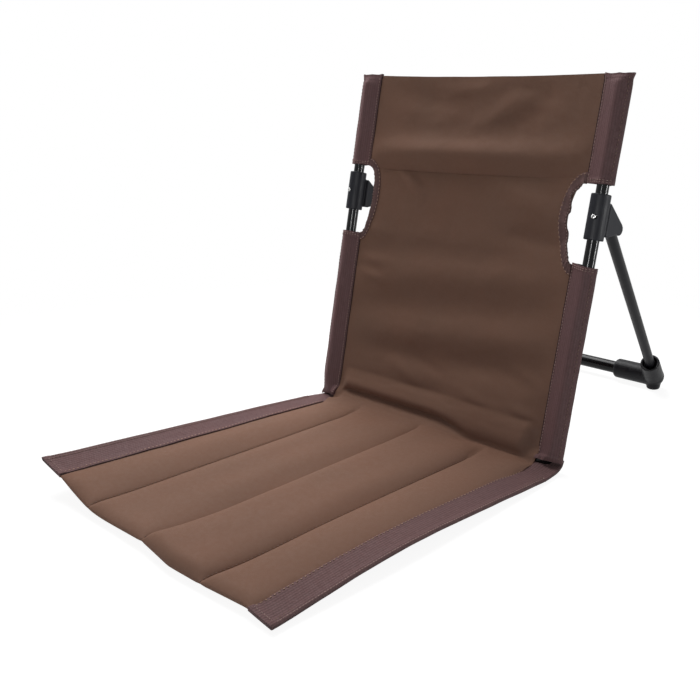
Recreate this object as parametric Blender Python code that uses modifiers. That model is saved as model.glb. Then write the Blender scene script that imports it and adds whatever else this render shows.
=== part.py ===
"""Folding camping chair for the ground: a quilted seat pad, a fabric back on a bent tube and a rear stand that swings
out of two moulded brackets.

Metres, +Z up. The sitter faces -Y and the origin is the middle of the seat's underside, on the floor.
"""

import math

import bmesh
import bpy
from mathutils import Matrix, Vector

# Overall sizes
CHAIR_WIDTH = 0.440
SEAT_LENGTH = 0.444
BACK_LENGTH = 0.467
RECLINE = math.radians(13.5)
GAP = 0.0003

# Back frame tube
TUBE_DIAMETER = 0.015
TUBE_WALL = 0.001
BEND_RADIUS = 0.024
TUBE_SIDES = 16
BEND_STEPS = 6

# Webbing sleeves and the fabric back
SLEEVE_WIDTH = 0.037
TUBE_INSET = 0.0147
SLEEVE_CLOTH = 0.0013
SLEEVE_EDGE = 0.0032
LOWER_SLEEVE_FOOT = -0.004
LOWER_SLEEVE_TOP = 0.2435
UPPER_SLEEVE_FOOT = 0.3405
POCKET_CLOTH = 0.003
TUBE_TOP_MARGIN = 0.012
PANEL_CLOTH = 0.0014
PANEL_BOW = 0.009
PANEL_DIP = 0.004
PANEL_ROLL = 0.007
ROLL_HEIGHT = 0.352
NOTCH_DEPTH = 0.017
NOTCH_SKEW = 0.2
BINDING_WIDTH = 0.0085
BINDING_THICKNESS = 0.0026

# Moulded brackets
BRACKET_DIAMETER = 0.024
BRACKET_LENGTH = 0.054
BRACKET_CENTRE = 0.3025
HOOD_WALL = 0.0033
HOOD_CHEEK = 0.0026
HOOD_REACH = 0.020
PIVOT_BACK = 0.025
PIVOT_DROP = 0.0055
PIN_DIAMETER = 0.005
PIN_HEAD_DIAMETER = 0.009
PIN_HEAD_THICKNESS = 0.0018
RIVET_DIAMETER = 0.004
RIVET_HEAD_DIAMETER = 0.0075
RIVET_HEAD_THICKNESS = 0.0014
RIVET_TURN = math.radians(20)

# Rear stand
LEG_DIAMETER = 0.014
LEG_WALL = 0.001
LEG_PAST_PIVOT = 0.0045
LEG_DOME = 0.003
PLUG_STEM = 0.016
FOOT_SPREAD = 0.1445
FOOT_BACK = 0.354
FOOT_RADIUS = 0.015
PAD_DROP = 0.0045
PAD_RADIUS = 0.0095
SOCKET_REACH = 0.042
SOCKET_MOUTH_RADIUS = 0.0105
SOCKET_MOUTH_DEPTH = 0.009
LEG_SEAT = 0.008
BARREL_REACH = 0.064
CROSS_DIAMETER = 0.019
CROSS_WALL = 0.0012
CROSS_INSERT = 0.036

# Quilted seat
COVER_CLOTH = 0.0009
UNDER_CLOTH = 0.001
SEAT_CROWN = 0.0120
OUTER_CROWN = 0.0108
SEAM_SPREAD = 0.112
SCALLOP = 0.007
END_ROUND = 0.018
SEAT_WEB_THICKNESS = 0.0036
FOAM_END = 0.024
FOAM_SIDE = 0.004
HINGE_HEIGHT = 0.0125
EDGE_CURL = 0.034
CURL_WIDTH = 0.130
SIDE_RISE = 0.011
SIDE_REACH = 0.085
FRONT_RISE = 0.009
FRONT_REACH = 0.110
LIFT_STEPS = 8

# Values that follow from the sizes above
TUBE_R = TUBE_DIAMETER / 2
SLEEVE_BORE = TUBE_R + GAP
SLEEVE_R = SLEEVE_BORE + SLEEVE_CLOTH
TUBE_X = CHAIR_WIDTH / 2 - TUBE_INSET
PANEL_HALF = CHAIR_WIDTH / 2 - SLEEVE_WIDTH
BAR_Z = SLEEVE_R
CREASE_Y = SEAT_LENGTH / 2
BAR_Y = CREASE_Y + (SLEEVE_R - (HINGE_HEIGHT - BAR_Z) * math.sin(RECLINE)) / math.cos(RECLINE)
SEAT_REAR = BAR_Y - SLEEVE_R - GAP
SEAT_FRONT = CREASE_Y - SEAT_LENGTH
NOTCH_MID = (LOWER_SLEEVE_TOP + UPPER_SLEEVE_FOOT) / 2
NOTCH_HALF = (UPPER_SLEEVE_FOOT - LOWER_SLEEVE_TOP) / 2 - 0.001
PANEL_FOOT = SLEEVE_R + GAP
TUBE_TOP = BACK_LENGTH - TUBE_TOP_MARGIN

BACK_UP = Vector((0, math.sin(RECLINE), math.cos(RECLINE)))
BACK_OUT = Vector((0, math.cos(RECLINE), -math.sin(RECLINE)))
BAR = Vector((0, BAR_Y, BAR_Z))
PIVOT_RISE = BRACKET_CENTRE - PIVOT_DROP
PIVOT = BAR + BACK_UP * PIVOT_RISE + BACK_OUT * PIVOT_BACK
FOOT_Z = FOOT_RADIUS + PAD_DROP
LEG_R = LEG_DIAMETER / 2

# In the back's own frame: x across, y out to the rear, z up along the tubes
FOOT_WORLD = Vector((0, BAR_Y + FOOT_BACK, FOOT_Z))
FOOT_OUT = (FOOT_WORLD - BAR).dot(BACK_OUT)
FOOT_RISE = (FOOT_WORLD - BAR).dot(BACK_UP)
LEG_PLANE = Vector((FOOT_OUT - PIVOT_BACK, FOOT_RISE - PIVOT_RISE)).normalized()
LEG_LENGTH_IN_PLANE = math.hypot(FOOT_OUT - PIVOT_BACK, FOOT_RISE - PIVOT_RISE)
LEG_SPLAY = (FOOT_SPREAD - TUBE_X) / LEG_LENGTH_IN_PLANE
SLOT_OUTER = LEG_R + GAP - LEG_SPLAY * (LEG_PAST_PIVOT + LEG_DOME)
SLOT_INNER = LEG_R + GAP - LEG_SPLAY * (HOOD_REACH + LEG_R) + 0.0006
PIN_HOLE = PIN_DIAMETER / 2 + GAP


def clear_scene():
    """Remove whatever the scene holds."""
    for obj in list(bpy.data.objects):
        bpy.data.objects.remove(obj, do_unlink=True)


def new_collection(name, hidden=False):
    found = bpy.data.collections.new(name)
    found.hide_render = hidden
    bpy.context.scene.collection.children.link(found)
    return found


def new_empty(name, location, turn=0.0):
    empty = bpy.data.objects.new(name, None)
    empty.location = location
    empty.rotation_euler = (turn, 0, 0)
    empty.empty_display_size = 0.04
    PARTS.objects.link(empty)
    return empty


def material(name, colour, roughness, metallic=0.0):
    """A Principled material of one colour."""
    made = bpy.data.materials.new(name)
    made.use_nodes = True
    shader = made.node_tree.nodes["Principled BSDF"]
    shader.inputs["Base Color"].default_value = (*colour, 1)
    shader.inputs["Roughness"].default_value = roughness
    shader.inputs["Metallic"].default_value = metallic
    return made


def place(name, mesh, parent, finish):
    """Link a mesh as one named piece of the chair."""
    obj = bpy.data.objects.new(name, mesh)
    obj.parent = parent
    if finish is not None:
        mesh.materials.append(finish)
    PARTS.objects.link(obj)
    return obj


def helper(name, mesh, parent):
    """A shape that only joins or cuts."""
    obj = bpy.data.objects.new(name, mesh)
    obj.parent = parent
    obj.hide_render = True
    obj.display_type = "WIRE"
    CUTTERS.objects.link(obj)
    return obj


def to_mesh(name, bm):
    bmesh.ops.recalc_face_normals(bm, faces=bm.faces)
    closed = all(edge.is_manifold for edge in bm.edges)
    if closed and bm.calc_volume(signed=True) < 0:
        bmesh.ops.reverse_faces(bm, faces=bm.faces)
    mesh = bpy.data.meshes.new(name)
    bm.to_mesh(mesh)
    bm.free()
    return mesh


def along(start, end):
    """Matrix that stands a shape's Z axis on the line from start to end, centred on it."""
    direction = Vector(end) - Vector(start)
    turn = direction.to_track_quat("Z", "Y").to_matrix().to_4x4()
    return Matrix.Translation((Vector(start) + Vector(end)) / 2) @ turn


def rod(name, start, end, radius, sides=24, end_radius=None):
    """A solid cylinder, or a cone, between two points."""
    bm = bmesh.new()
    depth = (Vector(end) - Vector(start)).length
    last = radius if end_radius is None else end_radius
    bmesh.ops.create_cone(
        bm, cap_ends=True, segments=sides, radius1=radius, radius2=last, depth=depth, matrix=along(start, end)
    )
    return to_mesh(name, bm)


def ball(name, centre, radius, sides=24, rings=14):
    bm = bmesh.new()
    bmesh.ops.create_uvsphere(
        bm, u_segments=sides, v_segments=rings, radius=radius, matrix=Matrix.Translation(centre)
    )
    return to_mesh(name, bm)


def box(name, low, high):
    bm = bmesh.new()
    size = Vector(high) - Vector(low)
    middle = (Vector(high) + Vector(low)) / 2
    bmesh.ops.create_cube(bm, size=1, matrix=Matrix.Translation(middle) @ Matrix.Diagonal((*size, 1)))
    return to_mesh(name, bm)


def plate(name, outlines, thickness, matrix):
    """Closed outlines filled and extruded to a thickness, laid out by a matrix; a second outline is a hole."""
    curve = bpy.data.curves.new(name, "CURVE")
    curve.dimensions = "2D"
    curve.fill_mode = "BOTH"
    curve.extrude = thickness / 2
    for outline in outlines:
        spline = curve.splines.new("POLY")
        spline.points.add(len(outline) - 1)
        spline.use_cyclic_u = True
        for point, (x, y) in zip(spline.points, outline):
            point.co = (x, y, 0, 1)
    return curve_mesh(name, curve, matrix)


def curve_mesh(name, curve, matrix=None):
    """The closed mesh that a curve makes."""
    obj = bpy.data.objects.new(name + "_curve", curve)
    CUTTERS.objects.link(obj)
    bpy.context.view_layer.update()
    made = bpy.data.meshes.new_from_object(obj.evaluated_get(bpy.context.evaluated_depsgraph_get()))
    bm = bmesh.new()
    bm.from_mesh(made)
    bpy.data.objects.remove(obj, do_unlink=True)
    bpy.data.curves.remove(curve)
    bpy.data.meshes.remove(made)
    bmesh.ops.remove_doubles(bm, verts=bm.verts, dist=1e-6)
    if matrix is not None:
        bm.transform(matrix)
    return to_mesh(name, bm)


def sweep(name, points, radius, sides, caps):
    """A round bar along a run of points."""
    curve = bpy.data.curves.new(name, "CURVE")
    curve.dimensions = "3D"
    curve.bevel_depth = radius
    curve.bevel_resolution = (sides - 4) // 2
    curve.use_fill_caps = caps
    curve.twist_mode = "MINIMUM"
    spline = curve.splines.new("POLY")
    spline.points.add(len(points) - 1)
    for point, co in zip(spline.points, points):
        point.co = (*co, 1)
    return curve_mesh(name, curve)


def turned(name, profile, start, end, sides=24):
    """A profile of (radius, height) pairs revolved about the line from start to end, heights from start."""
    bm = bmesh.new()
    last = None
    axis = (Vector(end) - Vector(start)).normalized()
    turn = axis.to_track_quat("Z", "Y").to_matrix().to_4x4()
    for radius, height in profile:
        vert = bm.verts.new((radius, 0, height))
        if last is not None:
            bm.edges.new((last, vert))
        last = vert
    bmesh.ops.spin(
        bm, geom=bm.verts[:] + bm.edges[:], cent=(0, 0, 0), axis=(0, 0, 1), angle=math.tau, steps=sides, use_merge=True
    )
    bmesh.ops.remove_doubles(bm, verts=bm.verts, dist=1e-6)
    bm.transform(Matrix.Translation(start) @ turn)
    return to_mesh(name, bm)


def boolean(obj, other, operation="DIFFERENCE"):
    modifier = obj.modifiers.new(other.name, "BOOLEAN")
    modifier.operation = operation
    modifier.solver = "EXACT"
    modifier.object = other


def soften(obj, width, segments=2, angle=40):
    modifier = obj.modifiers.new("Bevel", "BEVEL")
    modifier.width = width
    modifier.segments = segments
    modifier.limit_method = "ANGLE"
    modifier.angle_limit = math.radians(angle)


def thicken(obj, thickness, offset):
    modifier = obj.modifiers.new("Solidify", "SOLIDIFY")
    modifier.thickness = thickness
    modifier.offset = offset
    modifier.use_rim = True
    modifier.use_even_offset = True


def sheet(name, columns, rows, surface):
    """A grid whose points a function of (column, row) in 0..1 lays out."""
    bm = bmesh.new()
    bmesh.ops.create_grid(bm, x_segments=columns, y_segments=rows, size=0.5)
    for vert in bm.verts:
        column = round((vert.co.x + 0.5) * columns)
        row = round((vert.co.y + 0.5) * rows)
        vert.co = surface(column, row)
    bmesh.ops.recalc_face_normals(bm, faces=bm.faces)
    return to_mesh(name, bm)


def side_name(side):
    return "right" if side > 0 else "left"


# Back frame: the bent tube, its end plugs and what covers it


def frame_path(foot_radius):
    """Centre line of the bent tube, from the top of one upright to the top of the other."""
    points = [Vector((-TUBE_X, 0, TUBE_TOP))]
    for side in (-1, 1):
        for step in range(BEND_STEPS + 1):
            angle = math.pi / 2 * step / BEND_STEPS
            if side > 0:
                angle = math.pi / 2 - angle
            x = TUBE_X - foot_radius + foot_radius * math.cos(angle)
            points.append(Vector((side * x, 0, foot_radius - foot_radius * math.sin(angle))))
    points.append(Vector((TUBE_X, 0, TUBE_TOP)))
    return points


def build_frame():
    path = frame_path(BEND_RADIUS)
    tube = place("back_frame_tube", sweep("back_frame_tube", path, TUBE_R, TUBE_SIDES, False), BACK, BLACK_TUBE)
    thicken(tube, TUBE_WALL, -1)
    for side in (-1, 1):
        boolean(tube, rivet_hole(side))
    stem = TUBE_R - TUBE_WALL - GAP
    for side in (-1, 1):
        profile = [
            (0, -0.014),
            (stem - 0.0008, -0.014),
            (stem, -0.013),
            (stem, GAP),
            (TUBE_R, GAP),
            (TUBE_R, 0.002),
            (TUBE_R - 0.0012, 0.0045),
            (TUBE_R - 0.004, 0.0058),
            (0, 0.006),
        ]
        top = Vector((side * TUBE_X, 0, TUBE_TOP))
        name = side_name(side) + "_upright_plug"
        place(name, turned(name, profile, top, top + Vector((0, 0, 1)), 20), BACK, BLACK_PLASTIC)


def sleeve_tangent(half):
    """Angle at which the cloth that is sewn so far from the tube's axis leaves the tube."""
    edge = SLEEVE_EDGE / 2
    return math.atan2(edge, half) + math.acos(SLEEVE_R / math.hypot(half, edge))


def sleeve_outline(side):
    """Cross-section of a webbing sleeve: two layers over the tube, sewn together at both edges, wider on the inside."""
    edge = SLEEVE_EDGE / 2
    right, left = (TUBE_INSET, SLEEVE_WIDTH - TUBE_INSET)[::side]
    first = sleeve_tangent(right)
    last = math.pi - sleeve_tangent(left)
    over = [first + (last - first) * step / 6 for step in range(7)]
    points = [(right, -edge), (right, edge)]
    points += [(SLEEVE_R * math.cos(angle), SLEEVE_R * math.sin(angle)) for angle in over]
    points += [(-left, edge), (-left, -edge)]
    points += [(SLEEVE_R * math.cos(angle), -SLEEVE_R * math.sin(angle)) for angle in reversed(over)]
    return points


def build_sleeves():
    wide = SLEEVE_BORE / math.cos(math.pi / TUBE_SIDES)
    clearance = helper("frame_clearance", sweep("frame_clearance", frame_path(BEND_RADIUS), wide, TUBE_SIDES, True), BACK)
    for side in (-1, 1):
        for level, low, high in (
            ("lower", LOWER_SLEEVE_FOOT, LOWER_SLEEVE_TOP),
            ("upper", UPPER_SLEEVE_FOOT, BACK_LENGTH),
        ):
            name = f"{side_name(side)}_{level}_sleeve"
            middle = Matrix.Translation((side * TUBE_X, 0, (low + high) / 2))
            sleeve = place(name, plate(name, [sleeve_outline(side)], high - low, middle), BACK, WEBBING)
            if level == "lower":
                boolean(sleeve, clearance)
            else:
                start = Vector((side * TUBE_X, 0, low - 0.01))
                end = Vector((side * TUBE_X, 0, high - POCKET_CLOTH))
                boolean(sleeve, helper(name + "_pocket", rod(name + "_pocket", start, end, wide, TUBE_SIDES), BACK))
    reach = TUBE_X - BEND_RADIUS - 0.004
    outer = [(SLEEVE_R * math.cos(a), SLEEVE_R * math.sin(a)) for a in circle(24)]
    inner = [(wide * math.cos(a), wide * math.sin(a)) for a in circle(24)]
    across = Matrix.Rotation(math.pi / 2, 4, "Y")
    place("bottom_bar_sleeve", plate("bottom_bar_sleeve", [outer, inner], 2 * reach, across), BACK, FABRIC)


def circle(count):
    return [math.tau * step / count for step in range(count)]


# Fabric back


def notch_angles():
    return [math.radians(a) for a in (-90, -72, -54, -36, -18, 0, 18, 36, 54, 72, 90)]


def panel_rows():
    """Heights of the back's rows: even below, on the notches' own angles between, and closer at the soft roll."""
    half = NOTCH_HALF + BINDING_WIDTH + GAP
    rows = [PANEL_FOOT + (NOTCH_MID - half - PANEL_FOOT) * step / 8 for step in range(8)]
    rows += [NOTCH_MID + half * math.sin(angle) for angle in notch_angles()]
    top = NOTCH_MID + half
    rows += [top + (BACK_LENGTH - top) * share for share in (0.08, 0.16, 0.26, 0.38, 0.52, 0.68, 0.84, 1.0)]
    return rows


def panel_half_at(height):
    half = NOTCH_HALF + BINDING_WIDTH + GAP
    depth = NOTCH_DEPTH + BINDING_WIDTH + GAP
    share = (height - NOTCH_MID) / half
    inset = depth * math.sqrt(1 - share * share) * (1 + NOTCH_SKEW * share) if abs(share) < 1 else 0
    return PANEL_HALF - GAP - inset


def panel_form(across, height):
    """How far the cloth stands out to the rear: it bows, rolls over below the head band and wrinkles softly."""
    loose = 1 - across**4
    rise = (height - PANEL_FOOT) / (BACK_LENGTH - PANEL_FOOT)
    out = PANEL_BOW * math.sin(math.pi * min(1.0, 0.15 + 0.75 * rise)) * (1 - across**2)
    offset = (height - ROLL_HEIGHT) / 0.016
    out -= PANEL_ROLL * math.exp(-((offset - 1.0) ** 2)) * loose
    out += 0.4 * PANEL_ROLL * math.exp(-((offset + 0.7) ** 2)) * loose
    out += 0.0012 * math.sin(9 * math.pi * rise + 1.8 * across) * loose * math.sin(math.pi * rise)
    return out


def build_panel():
    rows = panel_rows()
    columns = 14

    def surface(column, row):
        across = -1 + 2 * column / columns
        height = rows[row]
        rise = (height - NOTCH_MID) / (BACK_LENGTH - NOTCH_MID)
        drop = PANEL_DIP * max(0.0, rise) ** 2 * (1 - across**2)
        return Vector((across * panel_half_at(height), panel_form(across, height), height - drop))

    mesh = sheet("back_panel", columns, len(rows) - 1, surface)
    thicken(place("back_panel", mesh, BACK, FABRIC), PANEL_CLOTH, 0)
    for side in (-1, 1):
        name = side_name(side) + "_notch_binding"
        edge = PANEL_HALF - GAP
        band = []
        for angle in notch_angles():
            x = edge - NOTCH_DEPTH * math.cos(angle) * (1 + NOTCH_SKEW * math.sin(angle))
            band.append((side * x, NOTCH_MID + NOTCH_HALF * math.sin(angle)))
        for angle in reversed(notch_angles()):
            x = edge - (NOTCH_DEPTH + BINDING_WIDTH) * math.cos(angle) * (1 + NOTCH_SKEW * math.sin(angle))
            band.append((side * x, NOTCH_MID + (NOTCH_HALF + BINDING_WIDTH) * math.sin(angle)))
        stand_up = Matrix.Rotation(math.pi / 2, 4, "X")
        place(name, plate(name, [band], BINDING_THICKNESS, stand_up), BACK, WEBBING)


# Brackets: a barrel riveted round the upright, with a hood behind it that carries the leg's pin


def rivet_axis(side):
    """Centre of the rivet on the tube's axis, and the way it points."""
    centre = Vector((side * TUBE_X, 0, BRACKET_CENTRE))
    return centre, Vector((side * math.sin(RIVET_TURN), -math.cos(RIVET_TURN), 0))


def rivet_hole(side):
    name = side_name(side) + "_rivet_hole"
    if name in bpy.data.objects:
        return bpy.data.objects[name]
    centre, out = rivet_axis(side)
    return helper(name, rod(name, centre + out * 0.003, centre + out * 0.03, RIVET_DIAMETER / 2 + GAP, 16), BACK)


def in_plane(distance, offset):
    """(out, up) of a point in the back's frame, so far down the leg from the pivot and so far above its axis."""
    up = Vector((-LEG_PLANE.y, LEG_PLANE.x))
    spot = Vector((PIVOT_BACK, PIVOT_RISE)) + LEG_PLANE * distance + up * offset
    return spot.x, spot.y


def hood_outline():
    """Side view of the hood: a roof along the leg, a round tip and a short underside back to the barrel."""
    roof = LEG_R + GAP + HOOD_WALL
    points = []
    barrel_side = BRACKET_DIAMETER / 2 - 0.004
    back = in_plane(0, roof)
    slope = LEG_PLANE.y / LEG_PLANE.x
    points.append((barrel_side, back[1] - (back[0] - barrel_side) * slope))
    tip = 0.0075
    for step in range(7):
        angle = math.pi / 2 * (1 - step / 3)
        points.append(in_plane(HOOD_REACH - tip + tip * math.cos(angle), roof - tip + tip * math.sin(angle)))
    points.append((barrel_side + 0.006, BRACKET_CENTRE - BRACKET_LENGTH * 0.40))
    points.append((barrel_side, BRACKET_CENTRE - BRACKET_LENGTH * 0.40))
    return points


def hood_space():
    """Side view of the room the leg needs inside the hood, from standing out to folded along the upright."""
    half = LEG_R + GAP
    round_room = (math.hypot(LEG_R, LEG_PAST_PIVOT) + GAP) / math.cos(math.radians(9))
    far = 0.08
    points = [in_plane(far, half)]
    start = math.atan2(LEG_PLANE.x, -LEG_PLANE.y)
    lean = math.acos(half / round_room)
    for step in range(13):
        angle = start - lean + (math.pi - start + 2 * lean) * step / 12
        points.append((PIVOT_BACK + round_room * math.cos(angle), PIVOT_RISE + round_room * math.sin(angle)))
    points.append((PIVOT_BACK - half, PIVOT_RISE - far))
    points.append((PIVOT_BACK + far, PIVOT_RISE - far))
    return points


def side_plate(name, outline, x_low, x_high):
    """An outline of (out, up) pairs extruded across the chair between two x values."""
    turn = Matrix(((0, 0, 1, (x_low + x_high) / 2), (1, 0, 0, 0), (0, 1, 0, 0), (0, 0, 0, 1)))
    return plate(name, [outline], abs(x_high - x_low), turn)


def build_brackets():
    for side in (-1, 1):
        word = side_name(side)
        low = Vector((side * TUBE_X, 0, BRACKET_CENTRE - BRACKET_LENGTH / 2))
        high = Vector((side * TUBE_X, 0, BRACKET_CENTRE + BRACKET_LENGTH / 2))
        name = word + "_bracket"
        barrel = rod(name, low, high, BRACKET_DIAMETER / 2, 28)
        bracket = place(name, barrel, BACK, BLACK_PLASTIC)
        soften(bracket, 0.001, 2)
        outer = side * (TUBE_X + SLOT_OUTER)
        inner = side * (TUBE_X - SLOT_INNER)
        cheek = side * HOOD_CHEEK
        hood = helper(name + "_hood", side_plate(name + "_hood", hood_outline(), inner - cheek, outer + cheek), BACK)
        soften(hood, 0.0009, 2, 60)
        boolean(bracket, hood, "UNION")
        wide = SLEEVE_BORE / math.cos(math.pi / TUBE_SIDES)
        lift = Vector((0, 0, 0.01))
        boolean(bracket, helper(name + "_bore", rod(name + "_bore", low - lift, high + lift, wide, 28), BACK))
        boolean(bracket, helper(name + "_slot", side_plate(name + "_slot", hood_space(), inner, outer), BACK))
        boolean(bracket, rivet_hole(side))
        centre = Vector((side * TUBE_X, PIVOT_BACK, PIVOT_RISE))
        across = Vector((side, 0, 0))
        blind = centre + across * (SLOT_OUTER + 0.6 * HOOD_CHEEK)
        hole = rod(name + "_pin_hole", blind, centre - across * 0.03, PIN_HOLE, 16)
        boolean(bracket, helper(name + "_pin_hole", hole, BACK))
        build_pin(word, centre, across)
        build_rivet(word, side)


def build_pin(word, centre, across):
    """Pin from the inner cheek into a blind hole in the outer one."""
    head = SLOT_INNER + HOOD_CHEEK + GAP
    tip = SLOT_OUTER + 0.6 * HOOD_CHEEK - GAP
    start = centre - across * head
    profile = [
        (0, -PIN_HEAD_THICKNESS),
        (PIN_HEAD_DIAMETER / 2 - 0.0006, -PIN_HEAD_THICKNESS),
        (PIN_HEAD_DIAMETER / 2, -PIN_HEAD_THICKNESS + 0.0006),
        (PIN_HEAD_DIAMETER / 2, 0),
        (PIN_DIAMETER / 2, 0),
        (PIN_DIAMETER / 2, head + tip - 0.0005),
        (PIN_DIAMETER / 2 - 0.0005, head + tip),
        (0, head + tip),
    ]
    name = word + "_pivot_pin"
    place(name, turned(name, profile, start, start + across, 16), BACK, STEEL)


def build_rivet(word, side):
    """Hollow rivet through the barrel and the front of the tube."""
    centre, out = rivet_axis(side)
    seat = BRACKET_DIAMETER / 2 + GAP
    depth = seat - (TUBE_R - TUBE_WALL) + 0.0015
    shank = RIVET_DIAMETER / 2
    profile = [
        (0.0009, -depth),
        (shank, -depth),
        (shank, 0),
        (RIVET_HEAD_DIAMETER / 2, 0),
        (RIVET_HEAD_DIAMETER / 2 - 0.0002, 0.0006),
        (RIVET_HEAD_DIAMETER / 2 - 0.0012, RIVET_HEAD_THICKNESS),
        (0.0018, RIVET_HEAD_THICKNESS),
        (0.0009, RIVET_HEAD_THICKNESS - 0.0008),
        (0.0009, -depth),
    ]
    name = word + "_bracket_rivet"
    start = centre + out * seat
    place(name, turned(name, profile, start, start + out, 18), BACK, STEEL)


# Rear stand, in the frame of its pivot axis


def foot_centre(side):
    return Vector((side * FOOT_SPREAD, FOOT_WORLD.y - PIVOT.y, FOOT_WORLD.z - PIVOT.z))


def leg_axis(side):
    """Pivot point of a leg, the foot's centre and the direction from one to the other."""
    top = Vector((side * TUBE_X, 0, 0))
    foot = foot_centre(side)
    return top, foot, (foot - top).normalized()


def build_leg(side):
    word = side_name(side)
    top, foot, down = leg_axis(side)
    start = top - down * LEG_PAST_PIVOT
    end = foot - down * LEG_SEAT
    name = word + "_leg"
    leg = place(name, sweep(name, [start, (start + end) / 2, end], LEG_R, TUBE_SIDES, False), STAND, DARK_TUBE)
    thicken(leg, LEG_WALL, -1)
    across = Vector((side, 0, 0))
    hole = rod(name + "_pin_hole", top - across * 0.03, top + across * 0.03, PIN_HOLE, 16)
    cutter = helper(name + "_pin_hole", hole, STAND)
    boolean(leg, cutter)
    stem = (LEG_R - LEG_WALL) * math.cos(math.pi / TUBE_SIDES) - GAP
    profile = [
        (0, -PLUG_STEM),
        (stem - 0.0008, -PLUG_STEM),
        (stem, -PLUG_STEM + 0.001),
        (stem, GAP),
        (LEG_R - 0.0004, GAP),
        (LEG_R - 0.0022, 0.45 * LEG_DOME),
        (LEG_R - 0.0046, 0.85 * LEG_DOME),
        (0, LEG_DOME),
    ]
    name = word + "_leg_plug"
    plug = place(name, turned(name, profile, start, start - down, 20), STAND, BLACK_PLASTIC)
    boolean(plug, cutter)


def build_foot(side):
    """Moulded corner: a barrel on the cross tube, a socket for the leg, a round pad on the floor."""
    word = side_name(side)
    top, foot, down = leg_axis(side)
    name = word + "_foot"
    inward = Vector((-side, 0, 0))
    barrel = rod(name, foot + inward * BARREL_REACH, foot, FOOT_RADIUS, 28)
    obj = place(name, barrel, STAND, BLACK_PLASTIC)
    soften(obj, 0.003, 3)
    socket = rod(name + "_socket", foot, foot - down * SOCKET_REACH, FOOT_RADIUS - 0.0003, 28, FOOT_RADIUS - 0.0008)
    boolean(obj, helper(name + "_socket", socket, STAND), "UNION")
    boolean(obj, helper(name + "_knuckle", ball(name + "_knuckle", foot, FOOT_RADIUS + 0.0002), STAND), "UNION")
    floor = Vector((foot.x, foot.y, -PIVOT.z))
    pad = rod(name + "_pad", floor, floor + Vector((0, 0, FOOT_Z)), PAD_RADIUS, 22, PAD_RADIUS + 0.004)
    pad_obj = helper(name + "_pad", pad, STAND)
    soften(pad_obj, 0.0015, 2)
    boolean(obj, pad_obj, "UNION")
    mouth = foot - down * (SOCKET_REACH - SOCKET_MOUTH_DEPTH)
    beyond = foot - down * (SOCKET_REACH + 0.02)
    boolean(obj, helper(name + "_mouth", rod(name + "_mouth", mouth, beyond, SOCKET_MOUTH_RADIUS, 24), STAND))
    bore_r = (LEG_R + GAP) / math.cos(math.pi / TUBE_SIDES)
    bore = rod(name + "_leg_bore", foot - down * (LEG_SEAT - GAP), beyond, bore_r, 24)
    boolean(obj, helper(name + "_leg_bore", bore, STAND))
    inner = foot + inward * (BARREL_REACH - CROSS_INSERT - GAP)
    cross_r = (CROSS_DIAMETER / 2 + GAP) / math.cos(math.pi / 20)
    cross = rod(name + "_cross_bore", inner, foot + inward * (BARREL_REACH + 0.02), cross_r, 24)
    boolean(obj, helper(name + "_cross_bore", cross, STAND))


def build_stand():
    for side in (-1, 1):
        build_leg(side)
        build_foot(side)
    reach = FOOT_SPREAD - BARREL_REACH + CROSS_INSERT
    centre = foot_centre(1)
    points = [Vector((x, centre.y, centre.z)) for x in (-reach, 0, reach)]
    tube = place("rear_cross_tube", sweep("rear_cross_tube", points, CROSS_DIAMETER / 2, 20, False), STAND, BLACK_TUBE)
    thicken(tube, CROSS_WALL, -1)


# Quilted seat, in the frame of its crease


def seat_seams():
    edge = PANEL_HALF - GAP
    return [-edge, -SEAM_SPREAD, 0.0, SEAM_SPREAD, edge]


def channel_at(x):
    """Share across the channel that holds x, and its crown."""
    seams = seat_seams()
    for index in range(4):
        if x <= seams[index + 1] or index == 3:
            share = (x - seams[index]) / (seams[index + 1] - seams[index])
            return min(1.0, max(0.0, share)), SEAT_CROWN if index in (1, 2) else OUTER_CROWN


def channel_swell(share):
    return max(0.0, 1 - abs(2 * share - 1) ** 2.4) ** 0.62


def seat_height(x, from_front, from_rear):
    """Height of the cover's upper side above the floor: round at the front, sewn to the bottom bar's sleeve behind."""
    share, crown = channel_at(x)
    seam = UNDER_CLOTH + GAP + COVER_CLOTH
    near = min(1.0, max(0.0, from_front / END_ROUND))
    height = seam + (crown - seam) * channel_swell(share) * math.sqrt(1 - (1 - near) ** 2)
    away = min(1.0, max(0.0, (from_rear / END_ROUND - 0.1) / 0.9))
    sewn = (1 - away) ** 2 * (1 + 2 * away)
    return height + (BAR_Z + COVER_CLOTH / 2 - height) * sewn


def front_line(x):
    """The front edge is drawn back where the seams gather it."""
    share, _ = channel_at(x)
    return SEAT_FRONT + SCALLOP * (1 - channel_swell(share))


def seat_lift(x, y):
    """How far the rim stands off the floor: the left edge curls up most, the right edge and the front a little."""
    ahead = min(1.0, max(0.0, (CREASE_Y - y) / SEAT_LENGTH))
    left = max(0.0, (CURL_WIDTH - CHAIR_WIDTH / 2 - x) / CURL_WIDTH)
    right = max(0.0, (x - CHAIR_WIDTH / 2 + SIDE_REACH) / SIDE_REACH)
    front = max(0.0, 1 - (1 - ahead) * SEAT_LENGTH / FRONT_REACH)
    curl = EDGE_CURL * left**1.5 * ahead
    side = SIDE_RISE * right**1.5 * math.sin(0.75 * math.pi * ahead)
    return math.sqrt(curl**2 + side**2 + (FRONT_RISE * front**2) ** 2)


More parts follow.
